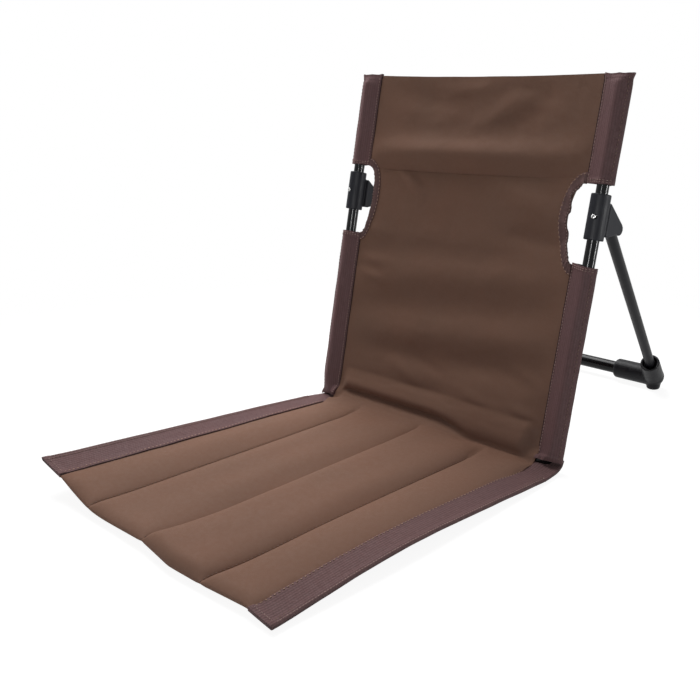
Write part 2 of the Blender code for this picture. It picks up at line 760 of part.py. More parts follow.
def lift_step(x, y):
    """The rim's lift, straight between the lines across the seat on which every piece is cut."""
    place_in = min(LIFT_STEPS - 1e-6, max(0.0, (CREASE_Y - y) / SEAT_LENGTH * LIFT_STEPS))
    step = math.floor(place_in)
    lines = [seat_lift(x, CREASE_Y - SEAT_LENGTH * at / LIFT_STEPS) for at in (step, step + 1)]
    return lines[0] + (lines[1] - lines[0]) * (place_in - step)


def lifted(mesh):
    """Lay a seat piece, given in the frame of the crease, over the raised rim."""
    bm = bmesh.new()
    bm.from_mesh(mesh)
    for step in range(1, LIFT_STEPS):
        spot = (0, -SEAT_LENGTH * step / LIFT_STEPS, 0)
        bmesh.ops.bisect_plane(bm, geom=bm.verts[:] + bm.edges[:] + bm.faces[:], plane_co=spot, plane_no=(0, 1, 0))
    bm.to_mesh(mesh)
    bm.free()
    for vert in mesh.vertices:
        vert.co.z += lift_step(vert.co.x, vert.co.y + CREASE_Y)
    return mesh


def facing_up(mesh):
    """Turn an open sheet's upper side outwards."""
    if sum(polygon.normal.z for polygon in mesh.polygons) < 0:
        mesh.flip_normals()
    return mesh


def seat_columns():
    seams = seat_seams()
    shares = (0, 0.05, 0.14, 0.3, 0.5, 0.7, 0.86, 0.95)
    lines = [low + (high - low) * share for low, high in zip(seams, seams[1:]) for share in shares]
    return lines + [seams[-1]]


def seat_rows():
    ends = (0, 0.08, 0.25, 0.55, 1.0)
    length = SEAT_REAR - SEAT_FRONT
    lengthwise = [END_ROUND * share / length for share in ends]
    return lengthwise + [1 - share for share in reversed(lengthwise)]


def build_seat():
    columns = seat_columns()
    rows = seat_rows()
    hinge = Vector((0, CREASE_Y, HINGE_HEIGHT))

    def surface(column, row):
        x = columns[column]
        front = front_line(x)
        y = front + (SEAT_REAR - front) * rows[row]
        height = seat_height(x, y - front, SEAT_REAR - y)
        return Vector((x, y, height)) - hinge

    mesh = facing_up(sheet("seat_top_cover", len(columns) - 1, len(rows) - 1, surface))
    thicken(place("seat_top_cover", lifted(mesh), SEAT, SEAT_FABRIC), COVER_CLOTH, -1)

    def underside(column, row):
        x = columns[column]
        return Vector((x, SEAT_REAR if row else front_line(x), 0)) - hinge

    mesh = facing_up(sheet("seat_bottom_cover", len(columns) - 1, 1, underside))
    thicken(place("seat_bottom_cover", lifted(mesh), SEAT, SEAT_FABRIC), UNDER_CLOTH, 1)

    for index in range(4):
        build_foam(index, hinge)
    for side in (-1, 1):
        name = side_name(side) + "_seat_webbing"
        low = Vector((side * (PANEL_HALF + GAP), SEAT_FRONT, 0)) - hinge
        high = Vector((side * CHAIR_WIDTH / 2, SEAT_REAR, SEAT_WEB_THICKNESS)) - hinge
        strip = place(name, lifted(box(name, low, high)), SEAT, WEBBING)
        soften(strip, 0.0008, 1)


def build_foam(index, hinge):
    """One strip of wadding, cut to the room inside its channel."""
    seams = seat_seams()
    low = seams[index] + FOAM_SIDE
    high = seams[index + 1] - FOAM_SIDE
    floor = UNDER_CLOTH + 2 * GAP
    top = []
    for step in range(11):
        x = low + (high - low) * step / 10
        slope = (seat_height(x + 1e-4, 1, 1) - seat_height(x - 1e-4, 1, 1)) / 2e-4
        top.append((x, seat_height(x, 1, 1) - (COVER_CLOTH + 0.0007) * math.hypot(1, slope)))
    outline = [(x, floor) for x, _ in top] + [(x, max(z, floor + 0.0006)) for x, z in reversed(top)]
    front = SEAT_FRONT + SCALLOP + FOAM_END
    rear = SEAT_REAR - FOAM_END
    middle = Vector((0, (front + rear) / 2, 0)) - hinge
    turn = Matrix(((1, 0, 0, middle.x), (0, 0, -1, middle.y), (0, 1, 0, middle.z), (0, 0, 0, 1)))
    name = ("left_outer", "left_inner", "right_inner", "right_outer")[index] + "_foam"
    place(name, lifted(plate(name, [outline], rear - front, turn)), SEAT, FOAM)


clear_scene()
PARTS = new_collection("folding_camping_chair")
CUTTERS = new_collection("cutters", hidden=True)
BLACK_TUBE = material("black_gloss_tube", (0.012, 0.012, 0.013), 0.28)
DARK_TUBE = material("dark_grey_tube", (0.045, 0.046, 0.050), 0.55)
BLACK_PLASTIC = material("black_plastic", (0.016, 0.017, 0.019), 0.48)
STEEL = material("bright_steel", (0.62, 0.62, 0.62), 0.30, 1.0)
WEBBING = material("brown_webbing", (0.100, 0.058, 0.062), 0.85)
FABRIC = material("brown_fabric", (0.122, 0.072, 0.052), 0.82)
SEAT_FABRIC = material("brown_seat_fabric", (0.190, 0.112, 0.086), 0.82)
FOAM = material("pale_wadding", (0.78, 0.77, 0.73), 0.95)
BACK = new_empty("back_frame", BAR, -RECLINE)
STAND = new_empty("stand_pivot", PIVOT)
SEAT = new_empty("seat_crease", (0, CREASE_Y, HINGE_HEIGHT))
build_frame()
build_sleeves()
build_panel()
build_brackets()
build_stand()
build_seat()
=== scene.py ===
"""Folding ground chair, dressed: woven cloth, webbing, thread, painted tube and moulded corners.

Metres, +Z up. The sitter faces -Y and the origin is on the floor under the middle of the seat.
"""

from __future__ import annotations

import logging
import math
from dataclasses import dataclass, field
from enum import Enum
from itertools import accumulate
from typing import Sequence

import bmesh
import bpy
from mathutils import Matrix, Vector, noise
from mathutils.bvhtree import BVHTree


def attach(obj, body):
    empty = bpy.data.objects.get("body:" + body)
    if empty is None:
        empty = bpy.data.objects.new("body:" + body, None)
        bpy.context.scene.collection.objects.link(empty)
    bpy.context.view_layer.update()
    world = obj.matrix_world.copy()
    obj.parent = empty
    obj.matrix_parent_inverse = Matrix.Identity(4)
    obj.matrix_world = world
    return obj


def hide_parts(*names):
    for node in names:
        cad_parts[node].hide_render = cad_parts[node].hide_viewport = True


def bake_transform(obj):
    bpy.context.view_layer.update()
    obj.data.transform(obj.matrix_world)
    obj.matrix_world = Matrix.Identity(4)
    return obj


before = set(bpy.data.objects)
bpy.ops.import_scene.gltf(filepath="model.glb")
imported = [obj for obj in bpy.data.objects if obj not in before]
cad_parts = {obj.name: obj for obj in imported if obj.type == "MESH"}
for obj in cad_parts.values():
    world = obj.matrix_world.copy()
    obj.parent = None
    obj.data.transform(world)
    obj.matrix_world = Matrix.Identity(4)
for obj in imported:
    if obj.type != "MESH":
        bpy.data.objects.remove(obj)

LOG = logging.getLogger("chair")
UV_NAME = "cloth"
CURVE_STEPS = 12
FLOOR = -0.0004
Colour = tuple[float, float, float]
Pairs = list[tuple[float, float]]
Points = tuple[tuple[float, float], ...]


class Side(Enum):
    """Left and right as seen from the front of the chair."""

    LEFT = -1
    RIGHT = 1

    @property
    def word(self) -> str:
        """The side's name in the names of pieces."""
        return self.name.lower()

    def pick(self, left: float, right: float) -> float:
        """The value that belongs to this side."""
        return left if self is Side.LEFT else right


class Body(Enum):
    """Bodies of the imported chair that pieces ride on."""

    BACK = "back"
    STAND = "stand"
    SEAT = "seat"


@dataclass(frozen=True)
class ChairSizes:
    """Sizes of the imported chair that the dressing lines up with."""

    width: float = 0.440
    seat_length: float = 0.444
    back_length: float = 0.467
    recline: float = math.radians(13.5)
    crease_y: float = 0.222
    bar_y: float = 0.2305423
    bar_z: float = 0.0091
    tube_r: float = 0.0075
    tube_x: float = 0.2053
    tube_top: float = 0.455
    bend_radius: float = 0.024
    sleeve_r: float = 0.0091
    sleeve_inset: float = 0.0147
    sleeve_width: float = 0.037
    sleeve_edge: float = 0.0016
    panel_half: float = 0.183
    notch_mid: float = 0.292
    notch_half: float = 0.0475
    notch_depth: float = 0.017
    notch_skew: float = 0.2
    binding_width: float = 0.0085
    bracket_centre: float = 0.3025
    pivot_rise: float = 0.297
    pivot_back: float = 0.025
    foot_spread: float = 0.1445
    foot_back: float = 0.354
    foot_z: float = 0.0195
    leg_r: float = 0.007
    cross_r: float = 0.0095
    seam_spread: float = 0.112

    def back(self, x: float, out: float, up: float) -> Vector:
        """A point of the back, given across, out to the rear and up along the tubes.

        Args:
            x: Place across the chair.
            out: Distance behind the plane of the tubes.
            up: Distance along the tubes from the bottom bar.

        Returns:
            The point in the chair's frame.
        """
        sine, cosine = math.sin(self.recline), math.cos(self.recline)
        return Vector((x, self.bar_y + out * cosine + up * sine, self.bar_z - out * sine + up * cosine))


SIZES = ChairSizes()


def smoothstep(low: float, high: float, value: float) -> float:
    """Share from 0 to 1 that eases between two limits."""
    share = min(1.0, max(0.0, (value - low) / (high - low)))
    return share * share * (3 - 2 * share)


def bell(value: float, middle: float, width: float) -> float:
    """Bell curve of height 1 about a middle."""
    return math.exp(-(((value - middle) / width) ** 2))


def ruffle(x: float, y: float, z: float = 0.0) -> float:
    """Steady noise from -1 to 1 at a place."""
    return noise.noise(Vector((x, y, z)))


def between(points: Sequence[tuple[float, float]], value: float) -> float:
    """Straight lines between (place, value) pairs.

    Args:
        points: Pairs in rising order of place.
        value: Place to read at.

    Returns:
        The value there, held at both ends.
    """
    if value <= points[0][0]:
        return points[0][1]
    for (low, first), (high, last) in zip(points, points[1:]):
        if value <= high:
            return first + (last - first) * (value - low) / (high - low)
    return points[-1][1]


def curve_through(points: Sequence[Vector], count: int) -> list[Vector]:
    """A smooth curve through points, evenly sampled by length.

    Args:
        points: The points that it passes.
        count: Number of samples.

    Returns:
        The samples, with both ends among them.
    """
    fine = []
    ends = [points[0] * 2 - points[1], *points, points[-1] * 2 - points[-2]]
    for index in range(1, len(ends) - 2):
        a, b, c, d = ends[index - 1 : index + 3]
        square = a * 2 - b * 5 + c * 4 - d
        cube = b * 3 - a - c * 3 + d
        for step in range(CURVE_STEPS):
            t = step / CURVE_STEPS
            fine.append(0.5 * (b * 2 + (c - a) * t + square * t**2 + cube * t**3))
    fine.append(points[-1])
    lengths = [0.0, *accumulate((last - first).length for first, last in zip(fine, fine[1:]))]
    samples = []
    index = 0
    for step in range(count):
        goal = lengths[-1] * step / (count - 1)
        while index < len(fine) - 2 and lengths[index + 1] < goal:
            index += 1
        span = max(1e-9, lengths[index + 1] - lengths[index])
        share = min(1.0, max(0.0, (goal - lengths[index]) / span))
        samples.append(fine[index].lerp(fine[index + 1], share))
    return samples


class NodeSheet:
    """Short hand for building one node tree."""

    def __init__(self, tree: bpy.types.NodeTree) -> None:
        """Keep the tree that nodes are added to."""
        self.tree = tree

    def feed(self, node: bpy.types.Node, inputs: dict) -> None:
        """Set some of a node's inputs.

        Args:
            node: The node.
            inputs: Values or sockets, by the input's name or number.
        """
        for key, value in inputs.items():
            if isinstance(value, bpy.types.NodeSocket):
                self.tree.links.new(value, node.inputs[key])
            else:
                node.inputs[key].default_value = value

    def add(self, kind: str, inputs: dict | None = None, **settings: object) -> bpy.types.Node:
        """Add a node.

        Args:
            kind: Type name of the node.
            inputs: Values or sockets for its inputs, by name or number.
            **settings: Attributes of the node.

        Returns:
            The new node.
        """
        node = self.tree.nodes.new(kind)
        for name, value in settings.items():
            setattr(node, name, value)
        self.feed(node, inputs or {})
        return node

    def math(self, operation: str, first: object, second: object = 0.0) -> bpy.types.NodeSocket:
        """Result of one maths step on two values or sockets."""
        return self.add("ShaderNodeMath", {0: first, 1: second}, operation=operation).outputs[0]

    def blend(self, first: object, gain: float, second: object, other_gain: float) -> bpy.types.NodeSocket:
        """Sum of two values or sockets, each times its own gain."""
        return self.math("ADD", self.math("MULTIPLY", first, gain), self.math("MULTIPLY", second, other_gain))

    def noise(self, place: bpy.types.NodeSocket, scale: object, detail: float) -> bpy.types.NodeSocket:
        """Noise from 0 to 1 at a place."""
        inputs = {"Vector": place, "Scale": scale, "Detail": detail}
        return self.add("ShaderNodeTexNoise", inputs).outputs[0]

    def spread(self, value: bpy.types.NodeSocket, low: float, high: float) -> bpy.types.NodeSocket:
        """A value between two limits, drawn out to 0 and 1."""
        inputs = {"Value": value, "From Min": low, "From Max": high}
        return self.add("ShaderNodeMapRange", inputs).outputs[0]


class ShaderGroups:
    """Effects that more than one finish uses, each a shader node group made once."""

    def __init__(self) -> None:
        """Build every group."""
        self.weave = self._weave()
        self.ribs = self._ribs()
        self.mottle = self._mottle()
        self.grain = self._grain()

    @staticmethod
    def _new(
        name: str, inputs: dict[str, float], outputs: Sequence[str]
    ) -> tuple[bpy.types.NodeTree, NodeSheet, bpy.types.bpy_prop_collection]:
        """An empty group that reads a place.

        Args:
            name: Name of the group.
            inputs: Defaults of its sizes, by label.
            outputs: Labels of the values that it puts out.

        Returns:
            The group, a sheet to add its nodes with, and the sockets of what it is given.
        """
        group = bpy.data.node_groups.new(name, "ShaderNodeTree")
        group.interface.new_socket("Vector", in_out="INPUT", socket_type="NodeSocketVector")
        for label, default in inputs.items():
            socket = group.interface.new_socket(label, in_out="INPUT", socket_type="NodeSocketFloat")
            socket.default_value = default
        for label in outputs:
            group.interface.new_socket(label, in_out="OUTPUT", socket_type="NodeSocketFloat")
        sheet = NodeSheet(group)
        return group, sheet, sheet.add("NodeGroupInput").outputs

    def _weave(self) -> bpy.types.NodeTree:
        """Plain weave of two threads, over and under in turn.

        Returns:
            The group.
        """
        group, sheet, given = self._new("plain_weave", {"Pitch": 0.0007}, ("Height", "Shade"))
        parts = sheet.add("ShaderNodeSeparateXYZ", {0: given["Vector"]})
        waves, cells = [], []
        for axis in ("X", "Y"):
            place = sheet.math("DIVIDE", parts.outputs[axis], given["Pitch"])
            share = sheet.math("FRACT", place)
            waves.append(sheet.math("SINE", sheet.math("MULTIPLY", share, math.pi)))
            cells.append(sheet.math("FLOOR", place))
        turn = sheet.math("FLOORED_MODULO", sheet.math("ADD", cells[0], cells[1]), 2.0)
        over = sheet.blend(waves[0], 0.65, waves[1], 0.35)
        under = sheet.blend(waves[1], 0.65, waves[0], 0.35)
        gain = sheet.math("MULTIPLY", turn, sheet.math("SUBTRACT", over, under))
        height = sheet.math("ADD", under, gain)
        slub = sheet.noise(given["Vector"], 420.0, 2.0)
        # Colour tone: the dips between threads painted darker (painted shade), mixed with random slub tone.
        shade = sheet.blend(height, 0.55, slub, 0.6)
        sheet.add("NodeGroupOutput", {"Height": height, "Shade": shade})
        return group

    def _ribs(self) -> bpy.types.NodeTree:
        """Webbing: ribs along the tape with fine threads across them.

        Returns:
            The group.
        """
        sizes = {"Rib Pitch": 0.0034, "Thread Pitch": 0.0032}
        group, sheet, given = self._new("ribbed_webbing", sizes, ("Height", "Shade"))
        parts = sheet.add("ShaderNodeSeparateXYZ", {0: given["Vector"]})
        across = sheet.math("DIVIDE", parts.outputs["X"], given["Rib Pitch"])
        rib = sheet.math("SINE", sheet.math("MULTIPLY", sheet.math("FRACT", across), math.pi))
        shift = sheet.math("MULTIPLY", sheet.math("FLOOR", across), 0.5)
        lengthwise = sheet.math("DIVIDE", parts.outputs["Y"], given["Thread Pitch"])
        along = sheet.math("FRACT", sheet.math("ADD", lengthwise, shift))
        thread = sheet.math("SINE", sheet.math("MULTIPLY", along, math.pi))
        height = sheet.blend(rib, 0.72, thread, 0.28)
        slub = sheet.noise(given["Vector"], 240.0, 4.0)
        # Colour tone: the grooves between ribs and threads painted darker (painted shade), mixed with random
        # slub tone.
        shade = sheet.blend(height, 0.6, slub, 0.60)
        sheet.add("NodeGroupOutput", {"Height": height, "Shade": shade})
        return group

    def _mottle(self) -> bpy.types.NodeTree:
        """Slow changes of tone, from handling and from the dye.

        Returns:
            The group.
        """
        group, sheet, given = self._new("slow_mottle", {"Scale": 14.0}, ("Tone", "Fleck"))
        tone = sheet.noise(given["Vector"], given["Scale"], 3.0)
        fine = sheet.math("MULTIPLY", given["Scale"], 14.0)
        fleck = sheet.noise(given["Vector"], fine, 2.0)
        sheet.add("NodeGroupOutput", {"Tone": tone, "Fleck": sheet.spread(fleck, 0.35, 0.65)})
        return group

    def _grain(self) -> bpy.types.NodeTree:
        """Fine grain of paint or moulded plastic, with faint rubbed streaks.

        Returns:
            The group.
        """
        group, sheet, given = self._new("fine_grain", {"Scale": 1600.0}, ("Height", "Rub"))
        grain = sheet.noise(given["Vector"], given["Scale"], 2.0)
        stretch = sheet.add("ShaderNodeMapping", {"Vector": given["Vector"], "Scale": (60.0, 90.0, 22.0)})
        streak = sheet.noise(stretch.outputs[0], 3.0, 4.0)
        sheet.add("NodeGroupOutput", {"Height": grain, "Rub": sheet.spread(streak, 0.42, 0.75)})
        return group


def mixed_colour(
    sheet: NodeSheet, share: bpy.types.NodeSocket, low: Colour, high: Colour
) -> bpy.types.NodeSocket:
    """Colour between two, by a share from 0 to 1."""
    return sheet.add("ShaderNodeMix", {0: share, 6: (*low, 1), 7: (*high, 1)}, data_type="RGBA").outputs[2]


def tinted(colour: Colour, gain: float) -> Colour:
    """A colour made darker or lighter."""
    return tuple(channel * gain for channel in colour)


def blank_material(name: str) -> tuple[bpy.types.Material, NodeSheet, bpy.types.Node]:
    """A new material that has only its shader.

    Args:
        name: Name of the finish.

    Returns:
        The material, a sheet to add its nodes with, and its shader.
    """
    made = bpy.data.materials.new(name)
    made.use_nodes = True
    return made, NodeSheet(made.node_tree), made.node_tree.nodes["Principled BSDF"]


class Surface(Enum):
    """What a cloth finish is woven as."""

    WEAVE = "weave"
    RIBS = "ribs"


@dataclass(frozen=True)
class ClothFinish:
    """Woven finish: its colour, its weave and how much of it shows."""

    name: str
    colour: Colour
    surface: Surface
    contrast: float
    relief: float
    warmth: float = 0.05

    def make(self, groups: ShaderGroups) -> bpy.types.Material:
        """The material of this finish.

        Args:
            groups: Shared effects.

        Returns:
            A material that reads the piece's own map in metres.
        """
        made, sheet, shader = blank_material(self.name)
        flat = sheet.add("ShaderNodeUVMap", uv_map=UV_NAME)
        space = sheet.add("ShaderNodeTexCoord")
        tree = groups.weave if self.surface is Surface.WEAVE else groups.ribs
        woven = sheet.add("ShaderNodeGroup", node_tree=tree)
        sheet.feed(woven, {"Vector": flat.outputs[0]})
        slow = sheet.add("ShaderNodeGroup", node_tree=groups.mottle)
        sheet.feed(slow, {"Vector": space.outputs["Object"]})
        dark, light = tinted(self.colour, 1 - self.contrast), tinted(self.colour, 1 + self.contrast)
        # The weave's tone is painted shade in its dips plus random slub tone; contrast sets how strong both
        # are.
        thread = mixed_colour(sheet, woven.outputs["Shade"], dark, light)
        warm = (1 + self.warmth, 1 - 0.4 * self.warmth, 1 - 0.8 * self.warmth)
        cool = (1 - self.warmth, 1 - 0.2 * self.warmth, 1 + 0.3 * self.warmth)
        tone = mixed_colour(sheet, slow.outputs["Tone"], cool, warm)
        both = {0: 1.0, 6: thread, 7: tone}
        dyed = sheet.add("ShaderNodeMix", both, data_type="RGBA", blend_type="MULTIPLY")
        rough = sheet.math("ADD", sheet.math("MULTIPLY", slow.outputs["Fleck"], 0.12), 0.70)
        relief = {"Strength": self.relief, "Distance": 0.0003, "Height": woven.outputs["Height"]}
        bump = sheet.add("ShaderNodeBump", relief)
        sheet.feed(
            shader,
            {
                "Base Color": dyed.outputs[2],
                "Roughness": rough,
                "Normal": bump.outputs[0],
                "Sheen Weight": 0.02,
                "Sheen Roughness": 0.45,
                "Specular IOR Level": 0.18,
            },
        )
        return made


@dataclass(frozen=True)
class HardFinish:
    """Painted, moulded or bare metal finish."""

    name: str
    colour: Colour
    rubbed: Colour
    roughness: float
    spread: float
    relief: float
    grain: float = 1600.0
    metallic: float = 0.0
    specular: float = 0.5

    def make(self, groups: ShaderGroups) -> bpy.types.Material:
        """The material of this finish.

        Args:
            groups: Shared effects.

        Returns:
            A material that reads object coordinates.
        """
        made, sheet, shader = blank_material(self.name)
        space = sheet.add("ShaderNodeTexCoord")
        fine = sheet.add("ShaderNodeGroup", node_tree=groups.grain)
        sheet.feed(fine, {"Scale": self.grain, "Vector": space.outputs["Object"]})
        rub = fine.outputs["Rub"]
        relief = {"Strength": self.relief, "Distance": 0.00015, "Height": fine.outputs["Height"]}
        sheet.feed(
            shader,
            {
                "Base Color": mixed_colour(sheet, rub, self.colour, self.rubbed),
                "Roughness": sheet.math("ADD", sheet.math("MULTIPLY", rub, self.spread), self.roughness),
                "Normal": sheet.add("ShaderNodeBump", relief).outputs[0],
                "Metallic": self.metallic,
                "Specular IOR Level": self.specular,
            },
        )
        return made


class Finishes:
    """All the chair's finishes, made once."""

    def __init__(self) -> None:
        """Make the shared effects and the materials."""
        groups = ShaderGroups()
        self.fabric = ClothFinish(
            "brown_canvas", (0.203, 0.108, 0.0715), Surface.WEAVE, contrast=0.08, relief=0.40
        ).make(groups)
        self.webbing = ClothFinish(
            "plum_webbing", (0.120, 0.065, 0.065), Surface.RIBS, contrast=0.54, relief=1.0
        ).make(groups)
        # Lighter than the seat's webbing, though it is the same tape: painted light on the upright sleeves.
        self.sleeve = ClothFinish(
            "plum_sleeve", (0.144, 0.077, 0.079), Surface.RIBS, contrast=0.26, relief=0.6
        ).make(groups)
        self.binding = ClothFinish(
            "plum_binding", (0.124, 0.070, 0.066), Surface.RIBS, contrast=0.36, relief=0.8
        ).make(groups)
        threads = {
            "edge": ("rose_thread", (0.460, 0.320, 0.285)),
            "rim": ("tan_thread", (0.480, 0.315, 0.235)),
            "seam": ("brown_thread", (0.270, 0.172, 0.130)),
            # Near-black thread for the dark line at the inner edges of the sleeves and the left seat webbing:
            # painted shade for the gap there, laid as stitches.
            "welt": ("painted_shade_thread", (0.030, 0.010, 0.009)),
        }
        self.threads = {
            word: ClothFinish(name, colour, Surface.RIBS, contrast=0.15, relief=0.3).make(groups)
            for word, (name, colour) in threads.items()
        }
        self.black_tube = HardFinish(
            "black_gloss_paint", colour=(0.004, 0.004, 0.005), rubbed=(0.007, 0.007, 0.008),
            roughness=0.14, spread=0.0, relief=0.0, specular=0.16,
        ).make(groups)
        self.dark_tube = HardFinish(
            "dark_satin_paint", colour=(0.005, 0.005, 0.0068), rubbed=(0.009, 0.009, 0.0112),
            roughness=0.38, spread=0.12, relief=0.16, specular=0.13,
        ).make(groups)
        self.plastic = HardFinish(
            "black_moulded_plastic", colour=(0.018, 0.019, 0.025), rubbed=(0.024, 0.0255, 0.033),
            roughness=0.47, spread=0.14, relief=0.22, grain=1100.0, specular=0.12,
        ).make(groups)
        self.foot_plastic = HardFinish(
            "dark_moulded_plastic", colour=(0.005, 0.005, 0.0068), rubbed=(0.009, 0.009, 0.0112),
            roughness=0.40, spread=0.14, relief=0.22, grain=1100.0, specular=0.16,
        ).make(groups)
        self.steel = HardFinish(
            "bright_rivet_steel", colour=(0.50, 0.50, 0.49), rubbed=(0.38, 0.38, 0.38),
            roughness=0.28, spread=0.18, relief=0.08, metallic=1.0,
        ).make(groups)


class Workshop:
    """Makes meshes into pieces, and keeps count of them."""

    def __init__(self) -> None:
        """Start with no pieces."""
        self.pieces: list[bpy.types.Object] = []

    def link(self, name: str, mesh: bpy.types.Mesh, finish: bpy.types.Material | None) -> bpy.types.Object:
        """Put a mesh in the scene as an object.

        Args:
            name: Name of the object.
            mesh: Its mesh, already in place.
            finish: Material, or nothing where the mesh has one.

        Returns:
            The object.
        """
        obj = bpy.data.objects.new(name, mesh)
        if finish is not None:
            mesh.materials.clear()
            mesh.materials.append(finish)
        bpy.context.scene.collection.objects.link(obj)
        return obj

    def settle(self, obj: bpy.types.Object) -> bpy.types.Object:
        """Turn an object's modifiers into plain mesh.

        Args:
            obj: The object.

        Returns:
            The same object, with no modifier left.
        """
        bpy.context.view_layer.update()
        graph = bpy.context.evaluated_depsgraph_get()
        made = bpy.data.meshes.new_from_object(obj.evaluated_get(graph))
        made.name = obj.name
        obj.modifiers.clear()
        old = obj.data
        obj.data = made
        bpy.data.meshes.remove(old)
        return obj

    def ride(self, obj: bpy.types.Object, body: Body, slot: str, *nodes: str) -> None:
        """Finish a piece: put it on the body that it rides on and hide the solids that it stands for."""
        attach(obj, body.value)
        self.enter(obj, slot, *nodes)

    def enter(self, obj: bpy.types.Object, slot: str, *nodes: str) -> None:
        """Hide the solids that a piece stands for, keep the piece and report it.

        Args:
            obj: The piece.
            slot: Not used.
            *nodes: Solids that it stands for, if any.
        """
        if nodes:
            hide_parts(*nodes)
        self.pieces.append(obj)
        LOG.info("%s: %d faces", obj.name, len(obj.data.polygons))


def grid_mesh(
    name: str, points: Sequence[Sequence[Vector]], flat: Sequence[Pairs], ring: bool = False
) -> bpy.types.Mesh:
    """A mesh of quads over rows of points, with its map in metres.

    Args:
        name: Name of the mesh.
        points: Rows of points.
        flat: The map's place for each point; in a ring, one more for each row, for the closing column.
        ring: Whether each row closes on itself.

    Returns:
        The mesh, shaded smooth.
    """
    rows, columns = len(points), len(points[0])
    faces, corners = [], []
    for row in range(rows - 1):
        for column in range(columns if ring else columns - 1):
            after = (column + 1) % columns
            here, above = row * columns, (row + 1) * columns
            faces.append((here + column, here + after, above + after, above + column))
            low, high = flat[row], flat[row + 1]
            corners += [low[column], low[column + 1], high[column + 1], high[column]]
    mesh = bpy.data.meshes.new(name)
    mesh.from_pydata([tuple(point) for line in points for point in line], [], faces)
    layer = mesh.uv_layers.new(name=UV_NAME)
    layer.data.foreach_set("uv", [value for corner in corners for value in corner])
    mesh.polygons.foreach_set("use_smooth", [True] * len(mesh.polygons))
    mesh.update()
    return mesh


def outward(mesh: bpy.types.Mesh, cap_above: float | None = None) -> bpy.types.Mesh:
    """Turn a mesh's faces outwards.

    Args:
        mesh: The mesh.
        cap_above: Height above which its open ends are closed first, or nothing to leave them open.

    Returns:
        The same mesh.
    """
    bm = bmesh.new()
    bm.from_mesh(mesh)
    if cap_above is not None:
        rim = [edge for edge in bm.edges if edge.is_boundary and edge.verts[0].co.z > cap_above]
        bmesh.ops.holes_fill(bm, edges=rim, sides=0)
    bmesh.ops.recalc_face_normals(bm, faces=bm.faces)
    bm.to_mesh(mesh)
    bm.free()
    return mesh


def smooth_mesh(name: str, bm: bmesh.types.BMesh, angle: float) -> bpy.types.Mesh:
    """A mesh from a bmesh, which is freed.

    Args:
        name: Name of the mesh.
        bm: The bmesh.
        angle: Angle in degrees above which an edge stays sharp.

    Returns:
        The mesh, smooth but for its sharp edges.
    """
    for face in bm.faces:
        face.smooth = True
    for edge in bm.edges:
        edge.smooth = len(edge.link_faces) == 2 and edge.calc_face_angle() < math.radians(angle)
    mesh = bpy.data.meshes.new(name)
    bm.to_mesh(mesh)
    bm.free()
    return mesh


class LineTree:
    """Geometry Nodes tree that follows lines, with named inputs for its sizes."""

    def __init__(self, name: str, inputs: dict[str, str]) -> None:
        """Start the tree.

        Args:
            name: Name of the tree.
            inputs: Kind of each input, by label.
        """
        self.tree = bpy.data.node_groups.new(name, "GeometryNodeTree")
        face = self.tree.interface
        face.new_socket("Geometry", in_out="OUTPUT", socket_type="NodeSocketGeometry")
        face.new_socket("Geometry", in_out="INPUT", socket_type="NodeSocketGeometry")
        self.sockets = {}
        for label, kind in inputs.items():
            socket = face.new_socket(label, in_out="INPUT", socket_type="NodeSocket" + kind)
            self.sockets[label] = socket.identifier
        self.sheet = NodeSheet(self.tree)
        self.given = self.sheet.add("NodeGroupInput").outputs
        self.line = self.sheet.add("GeometryNodeMeshToCurve", {"Mesh": self.given["Geometry"]}).outputs[0]

    def end(self, made: bpy.types.Node, finish: str) -> None:
        """Shade what is made smooth, give it its material and put it out.

        Args:
            made: The node that makes it.
            finish: Label of the input that holds the material.
        """
        soft = self.sheet.add("GeometryNodeSetShadeSmooth", {"Geometry": made.outputs[0]})
        dyed = {"Geometry": soft.outputs[0], "Material": self.given[finish]}
        done = self.sheet.add("GeometryNodeSetMaterial", dyed)
        self.sheet.add("NodeGroupOutput", {"Geometry": done.outputs[0]})


class StitchTree(LineTree):
    """Lays stitches along lines."""

    def __init__(self) -> None:
        """Build the tree with its named inputs."""
        sizes = {"Pitch": "Float", "Stitch Length": "Float", "Thread Radius": "Float"}
        super().__init__("stitch_run", {**sizes, "Thread": "Material"})
        sheet, given = self.sheet, self.given
        spots = sheet.add("GeometryNodeCurveToPoints", {"Curve": self.line}, mode="LENGTH")
        sheet.feed(spots, {"Length": given["Pitch"]})
        seed = sheet.add("GeometryNodeMeshUVSphere", {"Segments": 8, "Rings": 5, "Radius": 1.0})
        half = sheet.math("MULTIPLY", given["Stitch Length"], 0.5)
        radius = given["Thread Radius"]
        size = sheet.add("ShaderNodeCombineXYZ", {0: radius, 1: radius, 2: half})
        shaped = sheet.add("GeometryNodeTransform", {"Geometry": seed.outputs[0], "Scale": size.outputs[0]})
        points, turns = spots.outputs["Points"], spots.outputs["Rotation"]
        places = {"Points": points, "Instance": shaped.outputs[0], "Rotation": turns}
        laid = sheet.add("GeometryNodeInstanceOnPoints", places)
        self.end(sheet.add("GeometryNodeRealizeInstances", {"Geometry": laid.outputs[0]}), "Thread")


class TubeTree(LineTree):
    """Sweeps a round tube along a line and rounds its bends."""

    def __init__(self) -> None:
        """Build the tree with its named inputs."""
        sizes = {"Radius": "Float", "Bend Radius": "Float", "Sides": "Int"}
        super().__init__("tube_sweep", {**sizes, "Paint": "Material"})
        sheet, given = self.sheet, self.given
        bent = sheet.add("GeometryNodeFilletCurve", {"Curve": self.line, "Count": 14}, mode="POLY")
        sheet.feed(bent, {"Radius": given["Bend Radius"]})
        circle = {"Resolution": given["Sides"], "Radius": given["Radius"]}
        section = sheet.add("GeometryNodeCurvePrimitiveCircle", circle)
        sweep = {"Curve": bent.outputs[0], "Profile Curve": section.outputs[0], "Fill Caps": True}
        self.end(sheet.add("GeometryNodeCurveToMesh", sweep), "Paint")


